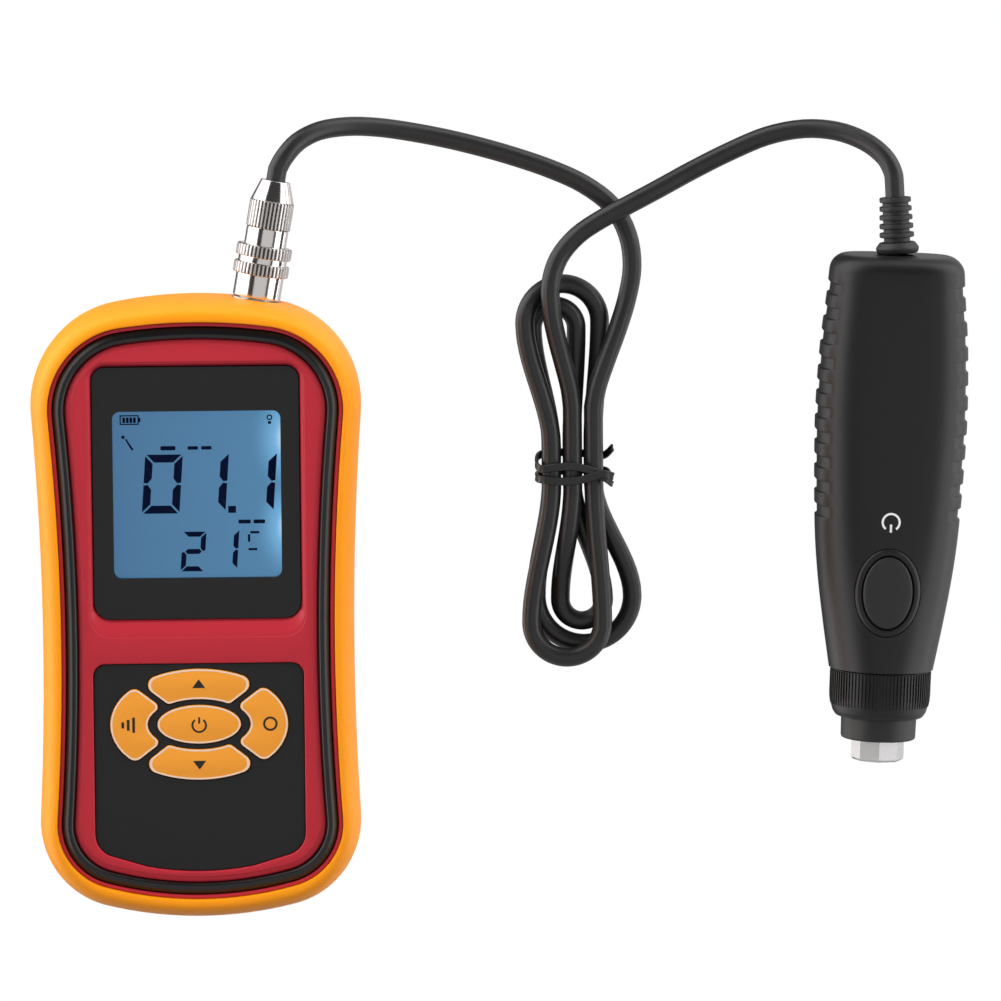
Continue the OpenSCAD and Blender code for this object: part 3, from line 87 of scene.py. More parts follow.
camera_data = bpy.data.cameras.new("camera")
camera_data.sensor_width = SENSOR
camera_data.lens = SENSOR * CAM_DISTANCE / FIELD_WIDTH
camera = put("camera", camera_data)
camera.matrix_world = camera_matrix()
bpy.context.scene.camera = camera
print("lens", round(camera_data.lens), "mm")

# %% [markdown]
# ## Materials
#
# One function adds shader nodes with their settings and links, so each finish below reads as a
# short list. Bumps are in object coordinates, which here are metres of the real thing, so a grain
# of 0.3 mm looks the same on every piece.

# %% Shader helpers


def colour(code):
    """Linear colour of an sRGB hex code."""
    parts = [int(code[i : i + 2], 16) / 255 for i in (1, 3, 5)]
    return (*[c / 12.92 if c <= 0.04045 else ((c + 0.055) / 1.055) ** 2.4 for c in parts], 1.0)


def add(tree, kind, settings=None, links=None):
    """A node of that kind, its sockets set from settings and fed from links."""
    node = tree.nodes.new(kind)
    for key, value in (settings or {}).items():
        if isinstance(key, str) and hasattr(node, key):
            setattr(node, key, value)
        else:
            node.inputs[key].default_value = value
    for key, source in (links or {}).items():
        tree.links.new(source, node.inputs[key])
    return node


def vector_math(tree, operation, place, other=(0, 0, 0)):
    """Node that works on a place with a fixed second vector."""
    return add(tree, "ShaderNodeVectorMath", {"operation": operation, 1: other}, {0: place})


def spread(tree, value, low, high, kind="LINEAR"):
    """0 where the value is low and 1 where it is high."""
    node = add(tree, "ShaderNodeMapRange",
               {"From Min": low, "From Max": high, "interpolation_type": kind}, {"Value": value})
    return node.outputs["Result"]


def mix_colours(tree, share, one, two):
    """Blend of two colours, each fixed or another node's output."""
    node = add(tree, "ShaderNodeMix", {"data_type": "RGBA"}, {0: share})
    for socket, value in ((6, one), (7, two)):
        if isinstance(value, tuple):
            node.inputs[socket].default_value = value
        else:
            tree.links.new(value, node.inputs[socket])
    return node.outputs[2]


def mix_shaders(tree, share, one, two, end):
    """Blend of two shader nodes, linked to the surface of an output node."""
    node = add(tree, "ShaderNodeMixShader", None, {0: share, 1: one.outputs[0], 2: two.outputs[0]})
    tree.links.new(node.outputs[0], tree.nodes[end].inputs["Surface"])


def new_material(name):
    """A material with its tree and its principled shader."""
    material = bpy.data.materials.new(name)
    material.use_nodes = True
    return material, material.node_tree, material.node_tree.nodes["Principled BSDF"]


def finish(name, code, rough, metal=0.0, spec=0.5, grain=None, more=None):
    """A finish of one colour; grain is (size in mm, strength) of a fine bump."""
    material, tree, shader = new_material(name)
    settings = {"Base Color": colour(code), "Roughness": rough, "Metallic": metal,
                "Specular IOR Level": spec, **(more or {})}
    for key, value in settings.items():
        shader.inputs[key].default_value = value
    if grain:
        size = grain[0] * MM
        place = add(tree, "ShaderNodeTexCoord").outputs["Object"]
        noise = add(tree, "ShaderNodeTexNoise",
                    {"Scale": 1 / size, "Detail": 3.0, "Roughness": 0.55}, {"Vector": place})
        bump = add(tree, "ShaderNodeBump", {"Strength": grain[1], "Distance": size * 0.25},
                   {"Height": noise.outputs["Fac"]})
        tree.links.new(bump.outputs["Normal"], shader.inputs["Normal"])
    return material


# %% [markdown]
# The finishes of the real object: a soft moulded rubber boot, fine-grained red case plastic, black
# gloss and satin mouldings, a lit liquid crystal display, silicone keys, nickel-plated and chromed
# connector metal, a ground steel tip, and the dull black of cord and grip. Two finishes are painted
# light instead: a pale ring on the keys' edges is a painted highlight, and a darker finish between
# knurl ridges is painted shade.

# %% Finishes
ORANGE = finish("orange_boot_rubber", "#FC9A10", 0.5, grain=(0.35, 0.12),
                more={"Subsurface Weight": 0.12, "Subsurface Scale": 0.004})
RED = finish("red_case_plastic", "#B22532", 0.46, grain=(0.3, 0.18))
BAND = finish("black_band_plastic", "#0F0F10", 0.28, grain=(0.5, 0.05))
PANEL = finish("black_panel_film", "#171718", 0.48, spec=0.35, grain=(0.25, 0.1))
KEY = finish("orange_key_silicone", "#EE9A33", 0.5, grain=(0.3, 0.08))
# Painted highlight: a pale ring just inside each key's edge, where its rounded edge catches light.
KEY_EDGE_HIGHLIGHT = finish("painted_key_edge_highlight", "#E9CDB6", 0.55)
INK = finish("black_printed_ink", "#17130F", 0.5)
WHITE_INK = finish("white_printed_ink", "#E9E9E9", 0.5)
SEGMENT = finish("dark_crystal_segment", "#070F2A", 0.9, spec=0.1)
GRIP = finish("black_grip_plastic", "#0C0C0D", 0.42, spec=0.44, grain=(0.28, 0.25))
SOFT_BLACK = finish("black_rubber", "#1A1A1B", 0.52, grain=(0.4, 0.15))
BUTTON = finish("black_button_rubber", "#1B1B1C", 0.5, grain=(0.2, 0.12))
CORD = finish("black_cord_jacket", "#1C1C1D", 0.38, grain=(0.8, 0.08))
CHROME = finish("chromed_brass", "#E4E2E0", 0.14, 1.0, grain=(0.6, 0.06))
NICKEL = finish("nickel_plate", "#C9C4BC", 0.28, 1.0)
STEEL = finish("ground_steel", "#C8C8C8", 0.35, 1.0, grain=(0.4, 0.2))
TIP_STEEL = finish("satin_ground_steel", "#D2D2D2", 0.36, 0.8, grain=(0.4, 0.2))
# Painted shade: a darker finish for the faces between a knurl's ridges.
PAINTED_VALLEY_SHADE = finish("painted_shade_knurl_valley", "#4A4847", 0.5, 0.6)
RIDGE = finish("worn_knurl_ridge", "#D8D6D4", 0.42, 1.0)
GOLD = finish("gold_plate", "#D9B24C", 0.3, 1.0)
BOARD = finish("green_solder_mask", "#14502A", 0.4)
WHITE = finish("white_moulded_plastic", "#E8E8E4", 0.5)
CERAMIC = finish("pale_ceramic", "#CBBBA0", 0.7)
CELL = finish("dark_cell_sleeve", "#2A2A30", 0.35, 0.4)
TIE_WIRE = finish("black_tie_plastic", "#1B1B1C", 0.38)

# %% [markdown]
# The display's light comes from two lamps behind its right edge, each a bright core in a wider
# halo. The window over it is thin clear plastic, which adds only a faint reflection.

# %% Display and window finishes
LAMP_X, LAMP_Z = 0.0245, 0.0315
LAMP_SHAPE = (1.25, 0.85, 1.0)
LAMPS = ((0.0445, 0.0145, 0.0062), (0.0215, 0.0135, 0.0058))  # place along Y, halo, core
HALF_SCREEN = 0.022


def lit_display():
    material, tree, shader = new_material("lit_display_glass")
    place = add(tree, "ShaderNodeTexCoord").outputs["Object"]

    def glow(column):
        """1 at each lamp, falling to 0 at the reach in that column of its row."""
        falls = []
        for lamp in LAMPS:
            offset = vector_math(tree, "SUBTRACT", place, (LAMP_X, lamp[0], LAMP_Z))
            scaled = vector_math(tree, "MULTIPLY", offset.outputs[0], LAMP_SHAPE)
            length = vector_math(tree, "LENGTH", scaled.outputs[0]).outputs["Value"]
            falls.append(spread(tree, length, lamp[column], 0.0, "SMOOTHERSTEP"))
        links = {0: falls[0], 1: falls[1]}
        return add(tree, "ShaderNodeMath", {"operation": "MAXIMUM"}, links).outputs[0]

    across = add(tree, "ShaderNodeSeparateXYZ", None, {0: place}).outputs["X"]
    glass = mix_colours(tree, spread(tree, across, -HALF_SCREEN, HALF_SCREEN),
                        colour("#416F95"), colour("#4B7FA6"))
    lit = mix_colours(tree, glow(1), glass, colour("#78BBE9"))
    full = mix_colours(tree, glow(2), lit, colour("#F2F9FF"))
    shader.inputs["Base Color"].default_value = colour("#101820")
    shader.inputs["Roughness"].default_value = 0.4
    shader.inputs["Emission Strength"].default_value = 1.0
    tree.links.new(full, shader.inputs["Emission Color"])
    return material


def clear_pane():
    material, tree, shader = new_material("clear_window_plastic")
    tree.nodes.remove(shader)
    through = add(tree, "ShaderNodeBsdfTransparent", {"Color": (0.98, 0.98, 0.98, 1)})
    gloss = add(tree, "ShaderNodeBsdfGlossy", {"Roughness": 0.12, "Color": (0.3, 0.3, 0.3, 1)})
    fresnel = add(tree, "ShaderNodeFresnel", {"IOR": 1.12})
    inside = add(tree, "ShaderNodeNewGeometry").outputs["Backfacing"]
    share = add(tree, "ShaderNodeMath", {"operation": "SUBTRACT", "use_clamp": True},
                {0: fresnel.outputs[0], 1: inside})
    mix_shaders(tree, share.outputs[0], through, gloss, "Material Output")
    return material


DISPLAY = lit_display()
CLEAR = clear_pane()
print("finishes:", len(bpy.data.materials))

# %% [markdown]
# ## Mesh helpers
#
# Nearly every piece is made in one of three ways: rings of points joined into a skin, as a moulder
# would draw sections; a profile turned round an axis, as on a lathe; or a flat outline given
# thickness and rounded edges, as a plate. Each ends as a plain mesh in metres at the origin.

# %% Mesh helpers
SMOOTH = math.radians(38)
FLAT = 0.9995
WELD = 0.0005


def smooth(t):
    t = max(0.0, min(1.0, t))
    return t * t * (3 - 2 * t)


def lift(points, z):
    return [(p[0], p[1], z) for p in points]


def block(x, y, w, h):
    """Rectangle from its lower left corner."""
    return [(x, y), (x + w, y), (x + w, y + h), (x, y + h)]


def ellipse(a, b, n=72, cx=0.0, cy=0.0):
    return [(cx + a * math.cos(TURN * i / n), cy + b * math.sin(TURN * i / n)) for i in range(n)]


def new_object(name, mesh, material, node=None, body=ROOT, angle=SMOOTH):
    """Wraps a mesh in metres as a finished piece that rides a body and may stand for a CAD node."""
    mesh.materials.clear()
    mesh.materials.append(material)
    mesh.shade_smooth()
    for face in mesh.polygons:
        face.use_smooth = abs(face.normal.z) < FLAT
    mesh.set_sharp_from_angle(angle=angle)
    obj = put(name, mesh)
    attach(obj, body)
    if node:
        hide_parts(node)
    return obj


def make_mesh(name, parts, place=None):
    """Mesh in metres of several (points, faces) parts in millimetres, moved to their place."""
    bm = bmesh.new()
    for points, faces in parts:
        verts = [bm.verts.new(Vector(p)) for p in points]
        for f in faces:
            bm.faces.new([verts[i] for i in f])
    bmesh.ops.remove_doubles(bm, verts=bm.verts, dist=WELD)
    bmesh.ops.recalc_face_normals(bm, faces=bm.faces)
    mesh = bpy.data.meshes.new(name)
    bm.to_mesh(mesh)
    bm.free()
    if place is not None:
        mesh.transform(place)
    mesh.transform(Matrix.Scale(MM, 4))
    return mesh


def piece(name, parts, material, node=None, body=ROOT, place=None):
    """A finished piece straight from its parts."""
    return new_object(name, make_mesh(name, parts, place), material, node, body)


def skin(rings, closed=True, caps=(True, True), loop=False):
    """Points and faces through rings of equal count; closed joins each ring's ends, loop the last
    ring to the first, and each cap is a fan to the ring's middle."""
    n = len(rings[0])
    m = len(rings)
    points = [p for ring in rings for p in ring]
    faces = []
    for i in range(m if loop else m - 1):
        k = (i + 1) % m
        for j in range(n if closed else n - 1):
            h = (j + 1) % n
            faces.append((i * n + j, i * n + h, k * n + h, k * n + j))
    for end, wanted in ((0, caps[0]), (m - 1, caps[1])):
        if wanted and not loop:
            points.append(tuple(sum(p[a] for p in rings[end]) / n for a in range(3)))
            faces += [(end * n + j, end * n + (j + 1) % n, len(points) - 1) for j in range(n)]
    return points, faces


def lathe(profile, steps=96):
    """Closed solid of (radius, height) points turned round Z; the ends may lie on the axis."""
    rings = []
    for k in range(steps):
        a = TURN * k / steps
        rings.append([(r * math.cos(a), r * math.sin(a), z) for r, z in profile])
    return skin(rings, closed=all(r > 0 for r, z in profile), loop=True)


def rounded(corners, steps=8):
    """Outline with rounded corners; each corner is (x, y, radius)."""
    out = []
    for i, (x, y, r) in enumerate(corners):
        if r <= 0:
            out.append((x, y))
            continue
        p = Vector((x, y))
        u = (Vector(corners[i - 1][:2]) - p).normalized()
        v = (Vector(corners[(i + 1) % len(corners)][:2]) - p).normalized()
        half = math.acos(max(-1, min(1, u.dot(v)))) / 2
        centre = p + (u + v).normalized() * r / math.sin(half)
        start = p + u * r / math.tan(half) - centre
        end = p + v * r / math.tan(half) - centre
        a = math.atan2(start.y, start.x)
        turn = (math.atan2(end.y, end.x) - a + math.pi) % TURN - math.pi
        for k in range(steps + 1):
            b = a + turn * k / steps
            out.append((centre.x + r * math.cos(b), centre.y + r * math.sin(b)))
    return out


def turned(name, corners, steps=96, round_steps=4):
    """Mesh of a body turned round Z from (radius, height, rounding) corners."""
    return make_mesh(name, [lathe(rounded(corners, round_steps), steps)])


def on_axis(mesh, place):
    """Moves a mesh in metres by a place written in millimetres."""
    mesh.transform(Matrix.Scale(MM, 4) @ place @ Matrix.Scale(1 / MM, 4))
    return mesh


# %% [markdown]
# Plates come from a flat curve with holes, because the curve's own bevel rounds their edges.
# Openings are cut with a boolean, and both it and the teeth below are baked into a plain mesh.

# %% Plates and cuts


def plate_parts(outlines, low, high, edge=0.0):
    """Flat plate of one outline and its holes, between two heights, its edges rounded by edge."""
    data = bpy.data.curves.new("plate", "CURVE")
    data.dimensions = "2D"
    data.fill_mode = "BOTH"
    data.extrude = (high - low) / 2 - edge
    data.bevel_depth = edge
    data.bevel_resolution = 3
    data.offset = -edge
    for outline in outlines:
        spline = data.splines.new("POLY")
        spline.points.add(len(outline) - 1)
        spline.points.foreach_set("co", [c for p in outline for c in (p[0], p[1], 0, 1)])
        spline.use_cyclic_u = True
    obj = bpy.data.objects.new("plate", data)
    mesh = bpy.data.meshes.new_from_object(obj)
    middle = (low + high) / 2
    points = [(v.co.x, v.co.y, v.co.z + middle) for v in mesh.vertices]
    faces = [tuple(p.vertices) for p in mesh.polygons]
    bpy.data.objects.remove(obj)
    bpy.data.curves.remove(data)
    bpy.data.meshes.remove(mesh)
    return points, faces


def baked(obj, *tools):
    """Mesh of an object with its modifiers applied; the object and its tools go."""
    bpy.context.view_layer.update()
    graph = bpy.context.evaluated_depsgraph_get()
    mesh = bpy.data.meshes.new_from_object(obj.evaluated_get(graph))
    for used in (obj, *tools):
        bpy.data.objects.remove(used)
    return mesh


def cut_mesh(mesh, *cutters):
    """Takes closed cutter meshes out of a closed mesh."""
    obj = put("cut", mesh)
    tools = [put("tool", cutter) for cutter in cutters]
    for tool in tools:
        modifier = obj.modifiers.new("cut", "BOOLEAN")
        modifier.object = tool
        modifier.operation = "DIFFERENCE"
        modifier.solver = "EXACT"
    return baked(obj, *tools)


# %% [markdown]
# ## Teeth round a ring
#
# Knurls and the collar's ribs repeat one small tooth round an axis. A geometry nodes tree does
# that: it takes the turned body, sets copies of a tooth on a circle, and gives back one mesh.

# %% Teeth by geometry nodes
GIVEN = (("Body", "Geometry"), ("Tooth", "Object"), ("Count", "Int"), ("Radius", "Float"),
         ("Height", "Float"), ("Finish", "Material"))


def teeth_tree():
    tree = bpy.data.node_groups.new("teeth_round_a_ring", "GeometryNodeTree")
    sockets = {}
    for title, kind in GIVEN:
        kind = "NodeSocket" + kind
        socket = tree.interface.new_socket(title, in_out="INPUT", socket_type=kind)
        sockets[title] = socket.identifier
    tree.interface.new_socket("Mesh", in_out="OUTPUT", socket_type="NodeSocketGeometry")
    given = add(tree, "NodeGroupInput").outputs
    circle = add(tree, "GeometryNodeMeshCircle", None,
                 {"Vertices": given["Count"], "Radius": given["Radius"]})
    height = add(tree, "ShaderNodeCombineXYZ", None, {2: given["Height"]})
    moved = add(tree, "GeometryNodeSetPosition", None,
                {"Geometry": circle.outputs["Mesh"], "Offset": height.outputs[0]})
    position = add(tree, "GeometryNodeInputPosition")
    level = vector_math(tree, "MULTIPLY", position.outputs[0], (1, 1, 0))
    facing = add(tree, "FunctionNodeAlignRotationToVector", {"axis": "X"},
                 {"Vector": level.outputs[0]})
    tooth = add(tree, "GeometryNodeObjectInfo", None, {"Object": given["Tooth"]})
    copies = add(tree, "GeometryNodeInstanceOnPoints", None,
                 {"Points": moved.outputs[0], "Instance": tooth.outputs["Geometry"],
                  "Rotation": facing.outputs[0]})
    real = add(tree, "GeometryNodeRealizeInstances", None, {0: copies.outputs[0]})
    joined = add(tree, "GeometryNodeJoinGeometry")
    tree.links.new(given["Body"], joined.inputs[0])
    tree.links.new(real.outputs[0], joined.inputs[0])
    painted = add(tree, "GeometryNodeSetMaterial", None,
                  {"Geometry": joined.outputs[0], "Material": given["Finish"]})
    add(tree, "NodeGroupOutput", None, {0: painted.outputs[0]})
    return tree, sockets


TEETH, TEETH_SOCKET = teeth_tree()


def with_teeth(mesh, tooth_mesh, count, radius, height, material):
    """The mesh with count copies of a tooth set round Z at a radius and height."""
    tooth = put("tooth", tooth_mesh)
    body = put("toothed", mesh)
    modifier = body.modifiers.new("teeth", "NODES")
    modifier.node_group = TEETH
    values = {"Tooth": tooth, "Count": count, "Radius": radius * MM, "Height": height * MM,
              "Finish": material}
    for title, value in values.items():
        modifier[TEETH_SOCKET[title]] = value
    return baked(body, tooth)


# %% [markdown]
# ## The cord
#
# One black cord of 5 mm runs from the plug to the probe, with a hank of five lobes held by a wire
# tie in the middle. Its route repeats the one that the solids follow: two free stretches laid on
# the floor, and the hank by rule, with each lobe's sides, end and heights in a table.

# %% Cord route
CORD_R = 2.5
JACK_TURN = math.radians(10)
JACK_WAY = Vector((math.sin(JACK_TURN), math.cos(JACK_TURN), 0))
TOP_ARCH_R = 112.0
HALF_L = 80.8
JACK_X = 15.9
JACK = Vector((JACK_X, HALF_L - TOP_ARCH_R + math.sqrt(TOP_ARCH_R**2 - JACK_X**2), 19.0))
PLUG_LENGTH = 31.0
PROBE_TURN = math.radians(2.5)
RELIEF_LEAN = math.radians(5)
RELIEF_TURN = PROBE_TURN - RELIEF_LEAN
PROBE_WAY = Vector((math.sin(PROBE_TURN), math.cos(PROBE_TURN), 0))
RELIEF_WAY = Vector((math.sin(RELIEF_TURN), math.cos(RELIEF_TURN), 0))
PROBE = Vector((176.8, -43.3, 15.6))
GRIP_FROM = 24.3
GRIP_L = 108.2
RELIEF_L = 15.0
RELIEF_END = PROBE + (GRIP_FROM + GRIP_L) * PROBE_WAY + RELIEF_L * RELIEF_WAY
TUCK = 2.0
STRAIGHT = 3.0
TIE = Vector((97.9, 34.5, 0))
STRAND = 5.5
HANK_START = 10.0
LOW = 2.5
HIGH = LOW + STRAND
TIE_LOW = LOW + 1.2
TIE_HIGH = TIE_LOW + STRAND
WAIST_HALF = 5.0
METER_RUN = [
    (23.7, 116.4, 18.4), (27.3, 120.1, 16.2), (32.8, 122.6, 13), (40, 123.4, 9.4),
    (48, 122.9, 6.4), (57, 121.4, 4), (66, 119.5, 2.8), (75, 117.2, 2.5), (84, 114.5, 2.5),
    (93, 111.3, 2.5), (101.5, 107.3, 2.5), (108.8, 101.6, 2.5), (112.9, 94, 2.5),
    (114, 85.6, 2.7), (112.5, 77.2, 4), (109.8, 69.2, 6.6), (106.9, 61.8, 8.5), (104.5, 55, 9.1)]
PROBE_RUN = [
    (97.3, 54.5, 9.3), (95.7, 61, 9.6), (93.9, 68, 10), (92.6, 75, 10.8), (92.5, 82, 10.5),
    (94.7, 88.6, 9.1), (99.4, 94.2, 8.6), (105.6, 98.4, 8.4), (112.6, 102, 8), (120.6, 106, 6.2),
    (130, 110.8, 3.6), (140, 115.6, 2.5), (149.6, 119.5, 2.6), (159, 121.3, 4),
    (167.4, 120.8, 6.8), (174.4, 118.3, 10.2), (179.2, 114.6, 13.2), (181.4, 110.6, 15.1)]
# Each lobe: the sides it goes out and back on, its end, the waist's columns it leaves from and
# comes back to, and its heights at the waist, before the turn, after it and at the waist again
LOBES = [(7.6, -11, -51, 1, -1, TIE_HIGH, HIGH, HIGH, TIE_HIGH),
         (-12.2, 7.5, 46.8, -1, 1, TIE_HIGH, HIGH, LOW, TIE_LOW),
         (15.6, -9.6, -48, 1, -1, TIE_LOW, LOW, LOW, TIE_LOW),
         (-10.1, 1.4, 41, -1, 0, TIE_LOW, LOW, LOW, TIE_LOW),
         (8.1, -3.3, -42, 0, 0, TIE_LOW, LOW, LOW, TIE_HIGH)]


def lobe(row, leg_steps=14, turn_steps=36):
    """Points of one lobe: a leg out from the tie, a round end and a leg back."""
    out_x, back_x, end, out_column, back_column, out_z, first_z, last_z, back_z = row
    way = math.copysign(1, end)
    turn_y = end - way * abs(back_x - out_x) / 2

    def leg(column, x, waist_z, turn_z):
        points = []
        for i in range(leg_steps):
            t = i / leg_steps
            points.append((column * STRAND + (x - column * STRAND) * smooth(t),
                           way * WAIST_HALF + (turn_y - way * WAIST_HALF) * t,
                           waist_z + (turn_z - waist_z) * smooth((t - 0.3) / 0.7)))
        return points

    turn = []
    for i in range(turn_steps + 1):
        t = i / turn_steps
        turn.append(((out_x + back_x) / 2 + (out_x - back_x) / 2 * math.cos(math.pi * t),
                     turn_y + way * abs(back_x - out_x) / 2 * math.sin(math.pi * t),
                     first_z + (last_z - first_z) * smooth(t * 2.2 - 0.2)))
    out = leg(out_column, out_x, out_z, first_z)
    back = leg(back_column, back_x, back_z, last_z)[::-1]
    return [Vector(p) + TIE for p in out + turn + back]


def through(points, steps):
    """Smooth curve through points, with steps places between two of them."""
    out = []
    for i in range(len(points) - 1):
        near = (points[max(0, min(len(points) - 1, k))] for k in (i - 1, i, i + 1, i + 2))
        a, b, c, d = near
        for k in range(steps):
            t = k / steps
            out.append((2 * b + (c - a) * t + (2 * a - 5 * b + 4 * c - d) * t * t
                        + (3 * b - a - 3 * c + d) * t**3) / 2)
    return out + [points[-1]]


def cord_route():
    plug_end = JACK + PLUG_LENGTH * JACK_WAY
    north = Vector((0, CORD_R * 2, 0))
    hank_in = TIE + Vector((STRAND, HANK_START, TIE_HIGH))
    hank_out = TIE + Vector((0, HANK_START, TIE_HIGH))
    first = through([plug_end + STRAIGHT * JACK_WAY] + [Vector(p) for p in METER_RUN]
                    + [hank_in + north], 4)
    hank = [p for row in LOBES for p in lobe(row)]
    last = through([hank_out + north] + [Vector(p) for p in PROBE_RUN]
                   + [RELIEF_END + STRAIGHT * RELIEF_WAY], 4)
    return ([plug_end - TUCK * JACK_WAY] + first + [hank_in] + hank + [hank_out] + last
            + [RELIEF_END - TUCK * RELIEF_WAY])


ROUTE = cord_route()

# %% [markdown]
# The jacket is one curve with a round bevel, so it stays a true tube however it turns.

# %% Cord piece
cord_data = bpy.data.curves.new("cord", "CURVE")
cord_data.dimensions = "3D"
cord_data.bevel_depth = CORD_R * MM
cord_data.bevel_resolution = 5
cord_data.use_fill_caps = True
spline = cord_data.splines.new("POLY")
spline.points.add(len(ROUTE) - 1)
for point, place in zip(spline.points, ROUTE):
    point.co = (*(place * MM), 1.0)
spline.use_smooth = True
cord_data.materials.append(CORD)
cord = put("cord", cord_data)
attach(cord, ROOT)
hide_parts("cord_meter_run", "cord_hank", "cord_probe_run")

# %% [markdown]
# ## Outlines of the meter
#
# The boot, the face and the band share one family of outlines: arcs that touch each other, with
# two arched ends, four corners and a drawn-in waist on each side. Drawing an outline in keeps its
# centres and changes its radii, so every inner line runs parallel to the outer one.

# %% Outlines
RIM = 5.7
LIP = 2.6
# Half width at the top and at the low end, draw of the waist, top and low end, radii of the top
# and low arch, radii of the top and low corners
BOOT_SHAPE = (42.8, 41.7, 1.3, HALF_L, -HALF_L, TOP_ARCH_R, 101.0, 26.4, 22.6)
FACE_SHAPE = (38.1, 37.0, 1.7, HALF_L - RIM, RIM - HALF_L, 140.0, 92.45, 21.7, 16.9)
DEPTH = 36.0
BELLY = DEPTH * 0.6
SHOULDER = DEPTH - LIP * 1.4
FACE_Z = DEPTH - LIP * 0.55
WALL_Z = FACE_Z - 3.0


def arc(centre, r, a, b, n):
    steps = [a + (b - a) * i / n for i in range(n)]
    return [(centre[0] + r * math.cos(t), centre[1] + r * math.sin(t)) for t in steps]


def heading(start, end):
    return math.atan2(end[1] - start[1], end[0] - start[0])


def outline(shape, inset, on_arch=14, on_corner=20, on_side=14):
    """Closed outline of touching arcs; the last three are the points on each of them."""
    wt, wl, draw, top_y, low_y, rt, rl, ct, cl = shape
    w = min(wt, wl) - draw
    arch = (0, top_y - rt)
    foot = (0, low_y + rl)
    top = (wt - ct, arch[1] + math.sqrt((rt - ct) ** 2 - (wt - ct) ** 2))
    low = (wl - cl, foot[1] - math.sqrt((rl - cl) ** 2 - (wl - cl) ** 2))
    # The side's centre lies so that its arc touches both corners and passes through the waist
    dt, dl = w - top[0], w - low[0]
    et, el = ct - dt, cl - dl
    a = el - et
    b = 2 * (et * low[1] - el * top[1])
    c = el * (dt * dt - ct * ct + top[1] ** 2) - et * (dl * dl - cl * cl + low[1] ** 2)
    y = -math.copysign(1, b) * c / ((abs(b) + math.sqrt(b * b - 4 * a * c)) / 2)
    r = (dt * dt - ct * ct + (y - top[1]) ** 2) / (2 * et)
    side = (w + r, y)
    a1, a2 = heading(foot, low), heading(low, side)
    a3, a4 = heading(top, side), heading(arch, top)
    half = (arc(foot, rl - inset, -QUARTER, a1, on_arch) + arc(low, cl - inset, a1, a2, on_corner)
            + arc(side, r + inset, math.pi + a2, math.pi + a3, on_side)
            + arc(top, ct - inset, a3, a4, on_corner)
            + arc(arch, rt - inset, a4, QUARTER, on_arch))
    return half + [(0, top_y - inset)] + [(-x, y) for x, y in half[:0:-1]]


def rings_of(shape, steps):
    """Level rings of one outline, each from an (inset, height) step."""
    return [lift(outline(shape, inset), z) for inset, z in steps]


def box_outline(w, l, r, cx=0.0, cy=0.0):
    right, left, low, top = cx + w / 2, cx - w / 2, cy - l / 2, cy + l / 2
    return rounded([(right, low, r), (right, top, r), (left, top, r), (left, low, r)])


print("outline points:", len(outline(BOOT_SHAPE, 0)))

# %% [markdown]
# ## The rubber boot
#
# A moulded sleeve of soft orange rubber that the case is pressed into. Its sides bulge, its lip
# folds over the case's shoulder, and its back is open over the battery door. It is skinned from
# parallel outlines, then the back window and the connector's hole are cut through.

# %% Boot
ROLL = 5.0
FOOT = 4.4
WALL = 4.0
BACK = 2.0
BACK_WINDOW = (47.4 + 3, 58.7 + 3, 4.5)
DOOR_MID_Y = -40.6
JACK_SEAT_R = 6.55
JACK_FRAME = (Matrix.Translation(JACK) @ Matrix.Rotation(-JACK_TURN, 4, "Z")
              @ Matrix.Rotation(-QUARTER, 4, "X"))


def boot_rings():
    """Rings from the foot up the bulging side, over the lip and down the inside wall."""
    steps = [(FOOT + 4, 0), (FOOT + 0.6, 0)]
    for k in range(13):
        a = QUARTER * (1 - k / 12)
        steps.append((FOOT * (1 - math.cos(a) ** 0.45), BELLY * (1 - math.sin(a))))
    for k in range(1, 15):
        a = QUARTER * (0.93 * k / 14)
        steps.append((ROLL * (1 - math.cos(a) ** 0.8),
                      BELLY + (DEPTH - BELLY) * math.sin(a) ** 0.8))
    lip = [(-0.28, DEPTH - 0.02), (-0.1, DEPTH - 0.1), (0.0, DEPTH - 0.35), (0.0, SHOULDER)]
    return (rings_of(BOOT_SHAPE, steps) + rings_of(FACE_SHAPE, lip)
            + rings_of(BOOT_SHAPE, [(WALL, SHOULDER), (WALL, BACK)]))


back_opening = box_outline(*BACK_WINDOW, 0, DOOR_MID_Y)
window_cut = make_mesh("window_cut", [skin([lift(back_opening, z) for z in (-1, BACK + 1)])])
jack_cut = make_mesh("jack_cut", [lathe(
    [(0, -6), (JACK_SEAT_R, -6), (JACK_SEAT_R, 3), (0, 3)], 64)], JACK_FRAME)
boot_mesh = cut_mesh(make_mesh("boot", [skin(boot_rings())]), window_cut, jack_cut)
new_object("boot_rubber", boot_mesh, ORANGE, "boot")
print("boot faces:", len(boot_mesh.polygons))

# %% [markdown]
# ## The red face
#
# The front shell shows as a thin red line outside the black band and as the raised face inside it.
# The face is one moulding with the groove for the band, a sloped recess under the window and a
# shallow bed for the keypad. The rings below follow the moulding from its outside wall inward.

# %% Red face
WINDOW_W, WINDOW_L, WINDOW_Y = 53.3, 65.4, 30.8
PAD_W, PAD_TOP, PAD_L, PAD_ARCH_R = 54.2, -13.6, 54.1, 72.0
BAND_MARGIN = 1.1
BAND_W = 3.4
BAND_PLAY = 0.15
ISLAND = BAND_MARGIN + BAND_W + 0.01
GROOVE_Z = FACE_Z - BAND_W / 2
SEAT_Z = FACE_Z - 2.4
PAD_SEAT = FACE_Z - 2.1


def window_points(grow, down=0.0):
    """The window's outline, grown on all sides and down further at its lower end."""
    w = WINDOW_W / 2 + grow
    high = WINDOW_Y + WINDOW_L / 2 + grow
    low = WINDOW_Y - WINDOW_L / 2 - grow - down
    return rounded([(w, low, 4.4 + grow), (w, high, 3.4 + grow), (-w, high, 3.4 + grow),
                    (-w, low, 4.4 + grow)], 10)


